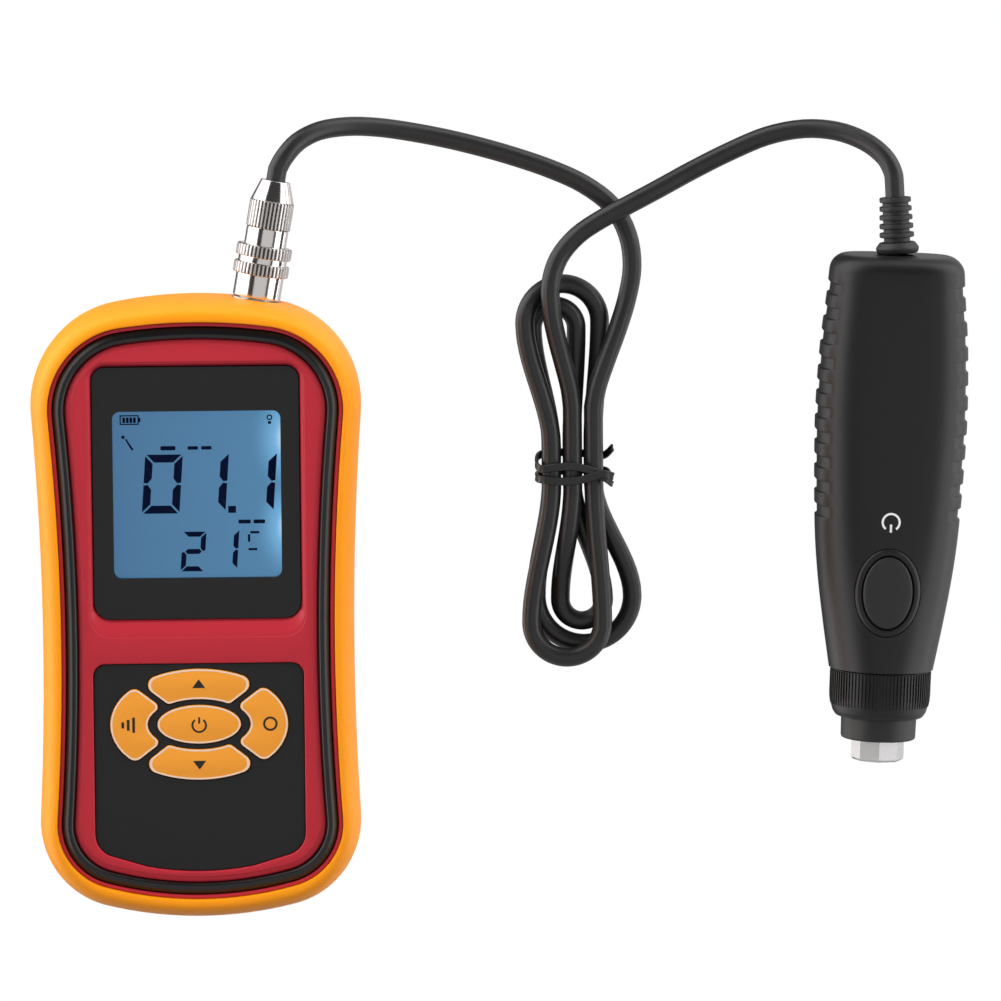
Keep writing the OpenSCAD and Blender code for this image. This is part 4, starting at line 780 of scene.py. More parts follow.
def pad_points(grow):
    """The keypad panel's outline: square above, arched at its lower end."""
    half = PAD_W / 2
    arch_y = PAD_TOP - PAD_L + PAD_ARCH_R
    side_y = arch_y - math.sqrt(PAD_ARCH_R**2 - half * half) - 0.3 * grow
    a = math.asin(half / PAD_ARCH_R)
    r = PAD_ARCH_R + grow
    low = [(r * math.sin(k * a / 8), arch_y - r * math.cos(k * a / 8), 0) for k in range(-4, 5)]
    w, top = half + grow, PAD_TOP + grow
    return rounded([(w, side_y, 6.0), (w, top, 3.2), (-w, top, 3.2), (-w, side_y, 6.0)] + low)


red_rim = skin(rings_of(FACE_SHAPE, [
    (0.15, SHOULDER - 1), (0.15, FACE_Z - 0.25), (0.22, FACE_Z - 0.07), (0.4, FACE_Z),
    (BAND_MARGIN - 0.3, FACE_Z), (BAND_MARGIN - 0.08, FACE_Z - 0.07),
    (BAND_MARGIN, FACE_Z - 0.25), (BAND_MARGIN, GROOVE_Z), (BAND_MARGIN + BAND_W, GROOVE_Z),
    (BAND_MARGIN + BAND_W, WALL_Z), (0.15, WALL_Z)]), loop=True)
slope = skin([lift(window_points(grow, down), z) for grow, down, z in (
    (1.5, 3.4, FACE_Z - 0.12), (1.0, 3.0, FACE_Z - 0.18), (0.8, 2.6, FACE_Z - 0.36),
    (0.4, 1.1, FACE_Z - 0.95), (0.15, 0.1, SEAT_Z + 0.96), (0.15, 0, SEAT_Z + 0.8),
    (0.15, 0, WALL_Z), (1.5, 3.4, WALL_Z))], loop=True)
island = plate_parts([outline(FACE_SHAPE, ISLAND + 1.2), window_points(1.2, 3.4),
                      pad_points(0.15)], PAD_SEAT, FACE_Z, 0.35)
bevel = skin(rings_of(FACE_SHAPE, [(ISLAND + inset, z) for inset, z in (
    (0, PAD_SEAT), (0, FACE_Z - 0.6), (0.1, FACE_Z - 0.47), (0.3, FACE_Z - 0.4),
    (1.55, FACE_Z - 0.04), (1.75, FACE_Z - 0.005), (2.1, FACE_Z + 0.003),
    (2.1, FACE_Z - 0.3), (1.3, PAD_SEAT))]), loop=True)
face = piece("red_face", [red_rim, slope, island, bevel], RED, "front_case")
print("face faces:", len(face.data.polygons))

# %% [markdown]
# ## Black band, window and display
#
# A glossy black band lies in the groove: a long slope on its outer side, and its crown near the
# face. The window is a flat pane printed black round the display, with a clear part in the
# middle, and the lit glass lies below it.

# %% Band, window and display
VIEW_W = 43.3
VIEW_L = 43.3
VIEW_X = 0.2
VIEW_Y = 30.35
PANE_GAP = 0.1
GLASS = (49.5, 49.0, 0.15, 0, 30.7)
# Places across the band, from its outer edge, and heights above the groove
BAND_PROFILE = [(0, 0), (0, 0.8), (0.01, 1.1), (0.04, 1.4), (0.1, 1.62), (0.2, 1.84),
                (0.32, 2.08), (0.44, 2.3), (0.55, 2.46), (0.65, 2.55), (0.75, 2.55),
                (0.84, 2.44), (0.91, 2.2), (0.96, 1.85), (0.99, 1.4), (1.0, 0.8), (1.0, 0)]
band_width = BAND_W - 2 * BAND_PLAY
band_rings = rings_of(FACE_SHAPE, [(BAND_MARGIN + BAND_PLAY + band_width * share, GROOVE_Z + rise)
                                   for share, rise in BAND_PROFILE])
piece("black_band", [skin(band_rings, loop=True)], BAND, "face_band")
view = box_outline(VIEW_W, VIEW_L, 2.0, VIEW_X, VIEW_Y)
view_inside = box_outline(VIEW_W - PANE_GAP, VIEW_L - PANE_GAP, 1.95, VIEW_X, VIEW_Y)
piece("printed_window", [plate_parts([window_points(0), view], SEAT_Z, SEAT_Z + 1.6, 0.12)],
      PANEL, "display_window")
piece("clear_pane", [plate_parts([view_inside], SEAT_Z + 1.2, SEAT_Z + 1.57, 0.05)], CLEAR)
piece("lit_display", [plate_parts([box_outline(*GLASS)], WALL_Z - 2.2, WALL_Z)], DISPLAY,
      "lcd_glass")

# %% [markdown]
# ## Figures on the display
#
# The crystal's figures are thin dark plates on the lit glass: leaning seven-part digits, a decimal
# point, a cell symbol and a few small plain marks. Each place is read from the picture in the
# display's own frame, as millimetres from its lower left corner.

# %% Display figures
VIEW_LEFT = VIEW_X - VIEW_W / 2
VIEW_LOW = VIEW_Y - VIEW_L / 2
INK_LOW = WALL_Z + 0.02
INK_HIGH = WALL_Z + 0.08
LEAN = 0.07
BIG = (9.7, 15.3, 2.05, 0.35)  # width, height, thickness of a bar, gap between bars
SMALL = (6.1, 10.3, 1.3, 0.25)


def digit_bars(parts, w, h, t, gap):
    """Outlines of a digit's lit bars; parts names them a to g, clockwise from the top."""
    half, edge = h / 2, t / 2
    top = [(gap, h), (w - gap, h), (w - gap - t, h - t), (gap + t, h - t)]
    right = [(w, h - gap), (w, half + gap), (w - edge, half + gap / 2), (w - t, half + t * 0.7),
             (w - t, h - t - gap)]
    middle = [(gap + edge, half), (gap + t, half + edge), (w - gap - t, half + edge),
              (w - gap - edge, half), (w - gap - t, half - edge), (gap + t, half - edge)]
    left = [(w - x, y) for x, y in right]
    bars = {"a": top, "b": right, "f": left, "g": middle}
    for above, below in ("ad", "bc", "fe"):
        bars[below] = [(x, h - y) for x, y in bars[above]]
    return [[(x + LEAN * y, y) for x, y in bars[k]] for k in parts]


def on_view(outlines, x, y):
    """Thin plate of an outline and its holes at a place on the display."""
    x, y = x + VIEW_LEFT, y + VIEW_LOW
    return plate_parts([[(px + x, py + y) for px, py in o] for o in outlines], INK_LOW, INK_HIGH)


DIGITS = (("abcdef", BIG, 7.3, 16.6), ("bc", BIG, 19.2, 17.0), ("bc", BIG, 31.6, 17.0),
          ("abged", SMALL, 17.1, 1.5), ("bc", SMALL, 25.6, 2.0))
figures = []
for lit, size, x, y in DIGITS:
    figures += [on_view([bar], x, y) for bar in digit_bars(lit, *size)]
figures.append(on_view([block(0, 0, 2.0, 1.8)], 29.6, 16.6))
print("display bars:", len(figures))

# %% [markdown]
# The small marks: a cell with four bars, a slanted stick for the probe, a lamp, and short plain
# dashes where the original has words.

# %% Small marks
cell_hole = block(0.3, 0.3, 4.3, 1.9)[::-1]
marks = [on_view([block(0, 0, 4.9, 2.5), cell_hole], 1.9, 39.7),
         on_view([block(0, 0, 0.45, 1.1)], 6.8, 40.4),
         on_view([[(0, 2.9), (0.35, 3.1), (2.2, 0.25), (1.7, 0)]], 3.2, 33.0),
         on_view([box_outline(0.9, 0.9, 0.44)], 2.7, 36.5),
         on_view([box_outline(1.5, 1.5, 0.74), box_outline(0.85, 0.85, 0.42)], 40.5, 41.3),
         on_view([block(0, 0, 0.8, 0.7)], 40.1, 39.6)]
marks += [on_view([block(0, 0, 0.7, 1.4)], 2.6 + 0.92 * k, 40.2) for k in range(4)]
DASHES = [(12.3, 33.0, 3.9, 1.1), (19.3, 33.1, 2.7, 0.9), (22.8, 33.1, 2.7, 0.9),
          (32.2, 13.8, 3.2, 1.0), (36.1, 13.8, 3.0, 1.0), (35.2, 11.2, 2.4, 0.6),
          (34.6, 9.0, 0.6, 2.0), (34.7, 6.8, 2.3, 0.6)]
for x, y, w, h in DASHES:
    marks.append(on_view([box_outline(w, h, min(w, h) * 0.3)], x + w / 2, y + h / 2))
piece("display_figures", figures + marks, SEGMENT)

# %% [markdown]
# ## Keys
#
# Five silicone keys fill an oval: a middle oval key and four that curve round it. Each stands a
# little above the panel, with a rounded edge and a pale ring just inside it, a painted highlight
# of that edge. The satin panel has five holes for them.

# %% Keys
KEYS = ["top", "left", "centre", "right", "bottom"]
KEYS_Y = -29.4
PANEL_T = 1.4
KEY_TOP = PAD_SEAT + PANEL_T + 0.45
KEY_A, KEY_B = 10.8, 5.05
KEYS_A, KEYS_B = 23.0, 14.5
GAP_A, GAP_B = 2.5, 1.5
GAP_PLACE = (9.45, 5.4)
GAP_SLOPE = math.radians(37.3)
GAP_HALF = 0.8
ARC_SHARE = 0.14
STEP_BACK = 16


def meet(p, u, a, b):
    """Where a line from p along u leaves an ellipse."""
    k = (u[0] / a) ** 2 + (u[1] / b) ** 2
    m = p[0] * u[0] / a**2 + p[1] * u[1] / b**2
    c = (p[0] / a) ** 2 + (p[1] / b) ** 2 - 1
    d = (-m + math.sqrt(m * m - k * c)) / k
    return (p[0] + u[0] * d, p[1] + u[1] * d)


def key_points(g, upright):
    """Top or right key, grown by g: an outer and an inner arc between two slanted gaps."""
    u = (math.cos(GAP_SLOPE), math.sin(GAP_SLOPE))
    off = (GAP_HALF - g) * (1 if upright else -1)
    p = (GAP_PLACE[0] - u[1] * off, GAP_PLACE[1] + u[0] * off)
    back = (p[0] - STEP_BACK * u[0], p[1] - STEP_BACK * u[1])
    corners = []
    for start, a, b in ((p, KEYS_A + g, KEYS_B + g),
                        (back, KEY_A + GAP_A - g, KEY_B + GAP_B - g)):
        x, y = meet(start, u, a, b)
        first = math.atan2(y / b, x / a)
        corners.append((a, b, first, math.pi - first if upright else -first))
    wide, small = 2.3 + g / 2, 1.4 + g / 2

    def corner(size, t, r):
        return (size[0] * math.cos(t), size[1] * math.sin(t), r)

    def between(size, a, b):
        steps = [a + (b - a) * (ARC_SHARE + (1 - 2 * ARC_SHARE) * i / 14) for i in range(15)]
        return [corner(size, t, 0) for t in steps]

    outer, inner = corners
    return rounded([corner(inner, inner[2], small), corner(outer, outer[2], wide)]
                   + between(outer, outer[2], outer[3])
                   + [corner(outer, outer[3], wide), corner(inner, inner[3], small)]
                   + between(inner, inner[3], inner[2]), 6)


def key_outline(which, g):
    if which == "centre":
        points = ellipse(KEY_A + g, KEY_B + g)
    else:
        points = key_points(g, which in ("top", "bottom"))
    flip = {"bottom": (1, -1), "left": (-1, 1)}.get(which, (1, 1))
    points = [(x * flip[0], y * flip[1] + KEYS_Y) for x, y in points]
    return points if flip == (1, 1) else points[::-1]


for which in KEYS:
    body = "key_" + which
    cap = plate_parts([key_outline(which, 0)], WALL_Z - 0.15, KEY_TOP, 0.3)
    flange = plate_parts([key_outline(which, 0.55)], WALL_Z - 1.25, WALL_Z - 0.15)
    # A pale ring just inside the key's edge, a painted highlight of its rounded edge.
    line = plate_parts([key_outline(which, -0.12), key_outline(which, -0.55)],
                       KEY_TOP - 0.1, KEY_TOP + 0.03)
    piece(body + "_cap", [cap, flange], KEY, body, body)
    piece(body + "_edge_line", [line], KEY_EDGE_HIGHLIGHT, None, body)
openings = [key_outline(which, 0.2) for which in KEYS]
piece("keypad_plate", [plate_parts([pad_points(0)] + openings, PAD_SEAT, PAD_SEAT + PANEL_T, 0.12)],
      PANEL, "keypad_panel")

# %% [markdown]
# The marks on the keys are plain signs: a ring with a bar for switching on, arrows up and down,
# three bars on the left key and a ring on the right one.

# %% Key marks
MARK_LOW = KEY_TOP - 0.02
MARK_HIGH = KEY_TOP + 0.03


def ring_arc(cx, cy, r, t, a0, a1, n=40):
    """Part of a flat ring of thickness t, between two angles."""
    angles = [a0 + (a1 - a0) * k / n for k in range(n + 1)]
    outer, inner = ([(cx + q * math.cos(a), cy + q * math.sin(a)) for a in angles]
                    for q in (r + t / 2, r - t / 2))
    return outer + inner[::-1]


def power_sign(cx, cy, size, t, up=1):
    gap = math.radians(38)
    top = QUARTER * up
    low = 0.25 if up > 0 else -1.2
    return [ring_arc(cx, cy, size, t, top + gap, top + TURN - gap),
            block(cx - t / 2, cy + low * size, t, 0.95 * size)]


signs = {"centre": power_sign(0, KEYS_Y - 0.2, 1.75, 0.5),
         "top": [[(-1.7, KEYS_Y + 9.5), (1.7, KEYS_Y + 9.5), (0, KEYS_Y + 11.8)]],
         "bottom": [[(-1.7, KEYS_Y - 9.5), (0, KEYS_Y - 11.8), (1.7, KEYS_Y - 9.5)]],
         "left": [block(x, KEYS_Y - h / 2, 0.7, h)
                  for x, h in ((-20.1, 1.6), (-18.7, 2.8), (-17.3, 4.0))],
         "right": [ring_arc(18.4, KEYS_Y, 1.6, 0.55, 0, 0.9995 * TURN)]}
for which, shapes in signs.items():
    piece("key_%s_mark" % which, [plate_parts([s], MARK_LOW, MARK_HIGH) for s in shapes], INK,
          None, "key_" + which)

# %% [markdown]
# ## Connector
#
# A bayonet plug on the meter's jack: a plain sleeve, a double knurled grip with a groove between,
# a bright neck, a knurled clamp nut and a cone over the cord. The turned bodies are profiles on
# the jack's axis, and the knurls are teeth set by the tree above. The faces between the ridges
# get a darker finish, which is painted shade, and the ridges a rougher worn one.

# %% Connector
SLEEVE_R = 6.85
NUT_R = 5.45
KNURL_ANGLE = math.radians(30)


def tooth(width, depth, length, tip=0.6):
    """Small prism standing outward along X: a ridge of a knurl."""
    w, t, end = width / 2, width / 2 * tip, length / 2
    rings = [[(-0.2, -w, z), (depth * k, -t, z), (depth * k, t, z), (-0.2, w, z)]
             for z, k in ((-end, 0.55), (0.25 - end, 1.0), (end - 0.25, 1.0), (end, 0.55))]
    return make_mesh("tooth", [skin(rings)])


def knurled_piece(name, mesh, radius, zones, node, body=ROOT):
    """Finished piece whose zones of height carry a knurl that stands on that radius."""
    kinds = {}
    for face in mesh.polygons:
        x, y, z = face.center / MM
        r = math.hypot(x, y)
        if r > radius - 0.06 and any(a < z < b for a, b in zones):
            kinds[face.index] = 1 if r < radius + 0.02 else 2
    obj = new_object(name, on_axis(mesh, JACK_FRAME), CHROME, node, body, KNURL_ANGLE)
    # The body's faces in the knurl zones get a darker finish, painted shade between the ridges, and
    # the ridges a rougher worn one.
    obj.data.materials.append(PAINTED_VALLEY_SHADE)
    obj.data.materials.append(RIDGE)
    for index, kind in kinds.items():
        obj.data.polygons[index].material_index = kind
    return obj


sleeve = turned("sleeve", [
    (4.88, 0.3, 0.1), (6.2, 0.3, 0.3), (6.2, 6.3, 0), (SLEEVE_R, 6.3, 0.2), (SLEEVE_R, 9.4, 0.2),
    (6.3, 9.4, 0.1), (6.3, 10.9, 0.1), (SLEEVE_R, 10.9, 0.2), (SLEEVE_R, 14.0, 0.3),
    (4.9, 14.0, 0.1), (4.9, 13.0, 0), (5.6, 13.0, 0), (5.6, 5.6, 0), (4.88, 5.6, 0)])
for middle in (7.85, 12.4):
    sleeve = with_teeth(sleeve, tooth(0.74, 0.36, 2.9), 42, SLEEVE_R - 0.01, middle, CHROME)
ring_piece = knurled_piece("coupling_ring_metal", sleeve, SLEEVE_R, ((6.3, 9.4), (10.9, 14.0)),
                           "plug_coupling_ring", "coupling_ring")
nut = turned("clamp_nut", [
    (4.55, 18.5, 0.1), (NUT_R, 18.5, 0.3), (NUT_R, 25.6, 0.1), (5.55, 25.8, 0),
    (3.75, 31.0, 0.25), (2.6, 31.0, 0.1), (2.6, 25.8, 0), (4.55, 25.8, 0)])
nut = with_teeth(nut, tooth(0.7, 0.33, 7.0), 36, NUT_R - 0.02, 22.1, CHROME)
nut_piece = knurled_piece("clamp_nut_metal", nut, NUT_R, ((18.55, 25.6),), "plug_clamp_nut")

# %% [markdown]
# ## Probe
#
# The grip is a rounded moulding in two halves whose section goes from a circle at the collar to a
# soft box at the cord. Nine ribs on each side are left standing between shallow grooves. The
# section is a superellipse, and tables give its width, height and roundness along the grip.

# %% Grip
W_TABLE = [(0, 0.69), (0.05, 0.738), (0.1, 0.785), (0.2, 0.87), (0.3, 0.932), (0.4, 0.966),
           (0.5, 0.987), (0.6, 1), (0.7, 0.99), (0.8, 0.963), (0.9, 0.91), (0.96, 0.885), (1, 0.87)]
H_TABLE = [(0, 0.857), (0.1, 0.885), (0.25, 0.935), (0.4, 0.975), (0.6, 1), (0.8, 0.985),
           (0.93, 0.93), (1, 0.87)]
N_TABLE = [(0, 2), (0.15, 2.2), (0.4, 2.7), (0.7, 3), (1, 3.2)]
GRIP_W = 39.5
GRIP_H = 31.2
END_R = 4.2
GRIP_STEPS = 36
GRIP_ANGLE = math.radians(28)
SEAM = 0.12
SHELL_SCALE = 0.86
CORD_BORE_R = 4.3
TUBE_BORE_R = 10.45
RIBS = 9
RIB_PITCH = 6.45
FIRST_RIB = 44.6
RIB_HALF = 1.55
RIB_DEPTH = 0.65
RIB_RAMP = 0.45
RIB_FROM, RIB_FADE = 0.74, 0.13  # how far round the side a rib starts to show, and how fast
RIBS_LOW = FIRST_RIB - RIB_PITCH * 0.75
RIBS_HIGH = FIRST_RIB + (RIBS - 1) * RIB_PITCH + RIB_PITCH * 0.75
RIB_STATIONS = (-2.05, -1.9, -1.75, -1.6, -1.5, 0, 1.5, 1.6, 1.75, 1.9, 2.05, 3.22)
PROBE_FRAME = (Matrix.Translation(PROBE) @ Matrix.Rotation(-PROBE_TURN, 4, "Z")
               @ Matrix.Rotation(-QUARTER, 4, "X"))
PROBE_PLACE = (Matrix.Translation((PROBE.x, PROBE.y, 0))
               @ Matrix.Rotation(-PROBE_TURN, 4, "Z"))


def look_up(s, table):
    """Value at s on a smooth curve through a table."""
    for i in range(len(table) - 1):
        if s <= table[i + 1][0]:
            break
    near = (table[max(0, min(len(table) - 1, k))] for k in (i - 1, i, i + 1, i + 2))
    (x0, y0), (x1, y1), (x2, y2), (x3, y3) = near
    span = x2 - x1
    t = max(0.0, min(1.0, (s - x1) / span))
    m1 = (y2 - y0) / max(1e-6, x2 - x0) * span
    m2 = (y3 - y1) / max(1e-6, x3 - x1) * span
    t2, t3 = t * t, t * t * t
    return ((2 * t3 - 3 * t2 + 1) * y1 + (t3 - 2 * t2 + t) * m1 + (-2 * t3 + 3 * t2) * y2
            + (t3 - t2) * m2)


def grip_sizes(s):
    """Half width, half height and roundness of the grip's section."""
    return (look_up(s, W_TABLE) * GRIP_W / 2, look_up(s, H_TABLE) * GRIP_H / 2,
            look_up(s, N_TABLE))


def grip_section(s, grow=0.0, dip=0.0):
    """Upper half of the section, from the right over the top to the left; the sides dip in."""
    a, b, roundness = grip_sizes(s)
    a, b, e = a + grow, b + grow, 2 / roundness
    out = []
    for i in range(GRIP_STEPS + 1):
        t = math.pi * i / GRIP_STEPS
        c, h = math.cos(t), math.sin(t)
        d = 1 - dip * smooth((abs(c) - RIB_FROM) / RIB_FADE) / a
        out.append((math.copysign(abs(c) ** e, c) * a * d, abs(h) ** e * b))
    return out


def rib_dip(y):
    """Depth of the surface at a place along the grip: 0 on a rib, the rib's depth between."""
    if y <= RIBS_LOW or y >= RIBS_HIGH:
        return 0.0
    edge = smooth(min(y - RIBS_LOW, RIBS_HIGH - y) / RIB_RAMP)
    nearest = min(abs(y - FIRST_RIB - k * RIB_PITCH) for k in range(RIBS))
    return RIB_DEPTH * min(edge, smooth((nearest - RIB_HALF + 0.05) / RIB_RAMP))


def grip_stations():
    """Places of the rings along the grip, close together at each rib's edges."""
    marks = [0.0, 0.25, 0.6]
    marks += [1.5 + 2.0 * k for k in range(19)]
    marks += [RIBS_LOW - 0.05, RIBS_LOW + 0.12, RIBS_LOW + 0.3, RIBS_LOW + 0.5]
    marks += [FIRST_RIB + k * RIB_PITCH + d for k in range(RIBS) for d in RIB_STATIONS]
    marks += [RIBS_HIGH - 0.5, RIBS_HIGH - 0.3, RIBS_HIGH - 0.12, RIBS_HIGH + 0.05]
    marks += [GRIP_L - END_R * (1 - math.sin(QUARTER * k / 8)) for k in range(9)]
    return sorted(set(round(m, 3) for m in marks))


def shell_mesh(name, way):
    """One grip shell: outside, inside and flat joint faces, for way 1 above or -1 below."""
    rings = []
    for y in grip_stations():
        s = y / GRIP_L
        past = max(0.0, y - (GRIP_L - END_R))
        inset = END_R - math.sqrt(max(0.0, END_R**2 - past**2))
        section = grip_section(s, -inset, rib_dip(y))
        right, left = section[0][0], section[-1][0]
        outside = ([(right - SEAM, 0.0), (right, SEAM)] + section[1:-1]
                   + [(left, SEAM), (left + SEAM, 0.0)])
        if y < 1.0 or y > GRIP_L - 2.4:
            r = TUBE_BORE_R if y < 1.0 else CORD_BORE_R
            inside = ellipse(r, r, 2 * GRIP_STEPS)[: GRIP_STEPS + 1]
        else:
            inside = [(x * SHELL_SCALE, z * SHELL_SCALE)
                      for x, z in grip_section(s, -inset * 0.5 - 0.6)]
        ring = outside + [inside[-1]] + inside[::-1] + [inside[0]]
        rings.append([(x, -way * z, GRIP_FROM + y) for x, z in ring])
    points, faces = skin(rings, caps=(False, False))
    n = len(rings[0])
    for base in (0, (len(rings) - 1) * n):
        faces += [(base + j, base + j + 1, base + n - 2 - j, base + n - 1 - j)
                  for j in range(n // 2 - 1)]
    return make_mesh(name, [(points, faces)], PROBE_FRAME)


# %% [markdown]
# ## Button and bezel
#
# The button is an oval rubber key in a raised oval ring. Both follow the grip's crown, so their
# heights are read from the same section as the grip itself, and the upper shell is cut for them.

# %% Button
BUTTON_Y = 45.6
LONGER = 3.0
BEZEL_A = 8.6
BEZEL_LOW = 24.8
# Half widths of the rings, and how far each stands above the grip's crown
BEZEL_STEPS = [(6.75, 0.0), (6.95, 0.3), (7.25, 0.42), (7.7, 0.45), (8.15, 0.38), (8.45, 0.15),
               (BEZEL_A, -0.15)]
BUTTON_STEPS = [(6.5, 0.0), (6.42, 0.22), (6.2, 0.4), (5.9, 0.47)]
BUTTON_FLANGE = [(7.9, 23.65), (7.9, 24.65), (6.5, 24.68)]


def crown(x, y):
    """Height of the grip's top above the floor at a place in the probe's own frame."""
    a, b, n = grip_sizes((y - GRIP_FROM) / GRIP_L)
    return b * (1 - min(0.999, abs(x / a)) ** n) ** (1 / n) + PROBE.z


def oval(a, z, b=None):
    """Level oval ring at the button."""
    return lift(ellipse(a, b or a + LONGER, 96, 0, BUTTON_Y), z)


def oval_on_crown(a, rise, b=None):
    """Oval ring at the button that follows the crown."""
    return [(x, y, crown(x, y) + rise) for x, y, z in oval(a, 0, b)]


button_cut = make_mesh("button_cut", [skin([oval(BEZEL_A + 0.12, z) for z in (17, 40)])],
                       PROBE_PLACE)
new_object("grip_upper", cut_mesh(shell_mesh("upper_shell", 1), button_cut), GRIP,
           "probe_upper_shell", angle=GRIP_ANGLE)
new_object("grip_lower", shell_mesh("lower_shell", -1), GRIP, "probe_lower_shell",
           angle=GRIP_ANGLE)
bezel_rings = ([oval(6.75, BEZEL_LOW)] + [oval_on_crown(a, rise) for a, rise in BEZEL_STEPS]
               + [oval(BEZEL_A, BEZEL_LOW)])
piece("button_ring", [skin(bezel_rings, loop=True)], GRIP, "button_bezel",
      place=PROBE_PLACE)
button_rings = ([oval(a, z) for a, z in BUTTON_FLANGE]
                + [oval_on_crown(a, rise) for a, rise in BUTTON_STEPS]
                + [oval_on_crown(5.9 * k, 0.47, 8.9 * k) for k in (0.8, 0.6, 0.4, 0.2)])
piece("probe_button_cap", [skin(button_rings)], BUTTON, "probe_button",
      "probe_button", PROBE_PLACE)
sign = [plate_parts([s], 0, 0.06) for s in power_sign(0, 64.2, 2.2, 0.55, -1)]
sign_mesh = make_mesh("probe_sign", sign)
for v in sign_mesh.vertices:
    v.co.z += crown(v.co.x / MM, v.co.y / MM) * MM
new_object("probe_sign", on_axis(sign_mesh, PROBE_PLACE), WHITE_INK)

# %% [markdown]
# ## Collar, nose and tip
#
# The collar turns on the nose tube: a fine-ribbed ring with a plain rounded front. A rubber bush
# leads to the steel tip, which is ground to eight flat sides and a short chamfer.

# %% Collar and nose
COLLAR_R = 12.9
SEAT_R = 11.28
TIP_R = 6.9
collar = turned("collar", [
    (9.98, 11.6, 0.1), (11.3, 11.6, 0.8), (12.2, 12.9, 2.0), (12.7, 14.5, 2.0),
    (12.88, 16.0, 2.0), (COLLAR_R, 17.6, 2.0), (COLLAR_R, 23.8, 0.1), (12.8, 24.0, 0),
    (SEAT_R, 24.0, 0), (SEAT_R, 13.2, 0), (9.98, 13.2, 0)], 128, 6)
# A rib's height along the collar, its stand from the ribs' radius, and its share of full width
RIB_SHAPE = [(-5.6, -0.75, 0.5), (-4.9, -0.2, 1.0), (-3.6, 0.02, 1.0), (-2.0, 0.12, 1.0),
             (3.9, 0.13, 1.0), (4.05, -0.1, 1.0)]
rib = make_mesh("ridge", [skin([
    [(x - 0.6, -0.3, z), (x, -0.12 * k, z), (x, 0.12 * k, z), (x - 0.6, 0.3, z)]
    for z, x, k in RIB_SHAPE])])
collar = with_teeth(collar, rib, 84, COLLAR_R + 0.2, 19.7, GRIP)
new_object("collar_ring", on_axis(collar, PROBE_FRAME), GRIP, "probe_collar",
           "collar", KNURL_ANGLE)
bush = turned("bush", [
    (7.05, 5.7, 0.1), (9.75, 5.7, 0.7), (9.9, 13.28, 0), (11.05, 13.28, 0), (11.05, 14.68, 0),
    (7.05, 14.68, 0)], 96, 6)
new_object("nose_rubber", on_axis(bush, PROBE_FRAME), SOFT_BLACK, "nose_bush")
tip_rings = [lift(ellipse(r, r, 8), z) for r, z in ((6.3, 0), (TIP_R, 0.6), (TIP_R, 16))]
piece("tip_steel", [skin(tip_rings)], TIP_STEEL, "steel_tip", place=PROBE_FRAME)

# %% [markdown]
# ## Strain relief
#
# A soft sleeve where the cord enters the grip: a round foot, then five rings with slots between
# them so that it bends with the cord.

# %% Strain relief
RELIEF_FRAME = (PROBE_FRAME @ Matrix.Translation((0, 0, GRIP_FROM + GRIP_L))
                @ Matrix.Rotation(-RELIEF_LEAN, 4, "Y"))
RELIEF_BORE = 2.6
RELIEF_FOOT = 3.6
SLOT_R = 3.4
pitch = (RELIEF_L - RELIEF_FOOT) / 5
corners = [(RELIEF_BORE, 0.4, 0), (5.3, 0.45, 0.6), (5.65, 1.9, 0.7), (4.6, 3.3, 0.4),
           (SLOT_R, 3.5, 0.1)]
for k in range(5):
    r = 4.5 - 0.1 * k
    at = RELIEF_FOOT + k * pitch
    corners += [(SLOT_R, at + 0.95, 0.05), (r, at + 1.0, 0.3), (r, at + pitch - 0.02, 0.3),
                (SLOT_R, at + pitch, 0.05)]
corners += [(SLOT_R, RELIEF_L, 0.1), (RELIEF_BORE, RELIEF_L, 0.1)]
relief = turned("relief", corners, 64)
new_object("relief_rubber", on_axis(relief, RELIEF_FRAME), SOFT_BLACK, "strain_relief")

# %% [markdown]
# ## Wire tie
#
# A plastic-coated wire goes twice round the strands. Its turns cross on the front, one end sticks
# out from under the strands, and the other is twisted down on the right.

# %% Tie
# Places from the middle of the waist: the tail under the strands, two turns, the twisted end
TIE_TURNS = [
    (10.4, 4.2, 8.6), (9.2, 2.4, 5.0), (8.0, 1.5, 1.9), (5.5, 1.8, 0.75), (0, 2.1, 0.7),
    (-5.5, 2.4, 0.75), (-8.4, 1.8, 2.4), (-9.3, 1.0, 5.4), (-9.4, -0.1, 9.2), (-8.1, -0.9, 11.9),
    (-4.5, -0.4, 12.5), (0, -0.2, 12.6), (4, -1.1, 12.6), (7.7, -2.6, 12.1), (9.4, -3.1, 9.2),
    (9.5, -2.7, 5.4), (8.2, -2.4, 1.9), (5.0, -2.4, 0.75), (0, -2.5, 0.7), (-5.0, -2.8, 0.75),
    (-8.4, -3.1, 2.2), (-9.4, -3.4, 5.4), (-9.2, -3.6, 9.2), (-7.8, -3.7, 12.0),
    (-4, -4.1, 12.6), (0, -4.0, 12.7), (3.5, -3.4, 12.9), (7.2, -2.2, 13.4), (9.0, -2.4, 13.0),
    (10.4, -3.0, 11.8)]
TIE_TWIST = [(6.2, -2.9, 12.9), (8.0, -3.3, 13.3), (9.3, -4.2, 12.8), (10.2, -5.0, 11.8)]


def ribbon_parts(places, half_w, half_t, n=20):
    """Coated wire: flat, with a round wire along each edge and a shallow groove between."""
    path = through([Vector(p) + TIE for p in places], 6)
    rings = []
    for i, p in enumerate(path):
        way = (path[min(i + 1, len(path) - 1)] - path[max(i - 1, 0)]).normalized()
        across = (Vector((0, 1, 0)) - way * way.y).normalized()
        up = across.cross(way)
        ring = []
        for k in range(n):
            a = TURN * k / n
            thick = half_t * (0.5 + 1.1 * math.cos(a) ** 2)
            ring.append(tuple(p + half_w * math.cos(a) * across + thick * math.sin(a) * up))
        rings.append(ring)
    return skin(rings)


tie = piece("wire_tie", [ribbon_parts(TIE_TURNS, 1.05, 0.52), ribbon_parts(TIE_TWIST, 0.8, 0.5)],
            TIE_WIRE, "cord_tie")

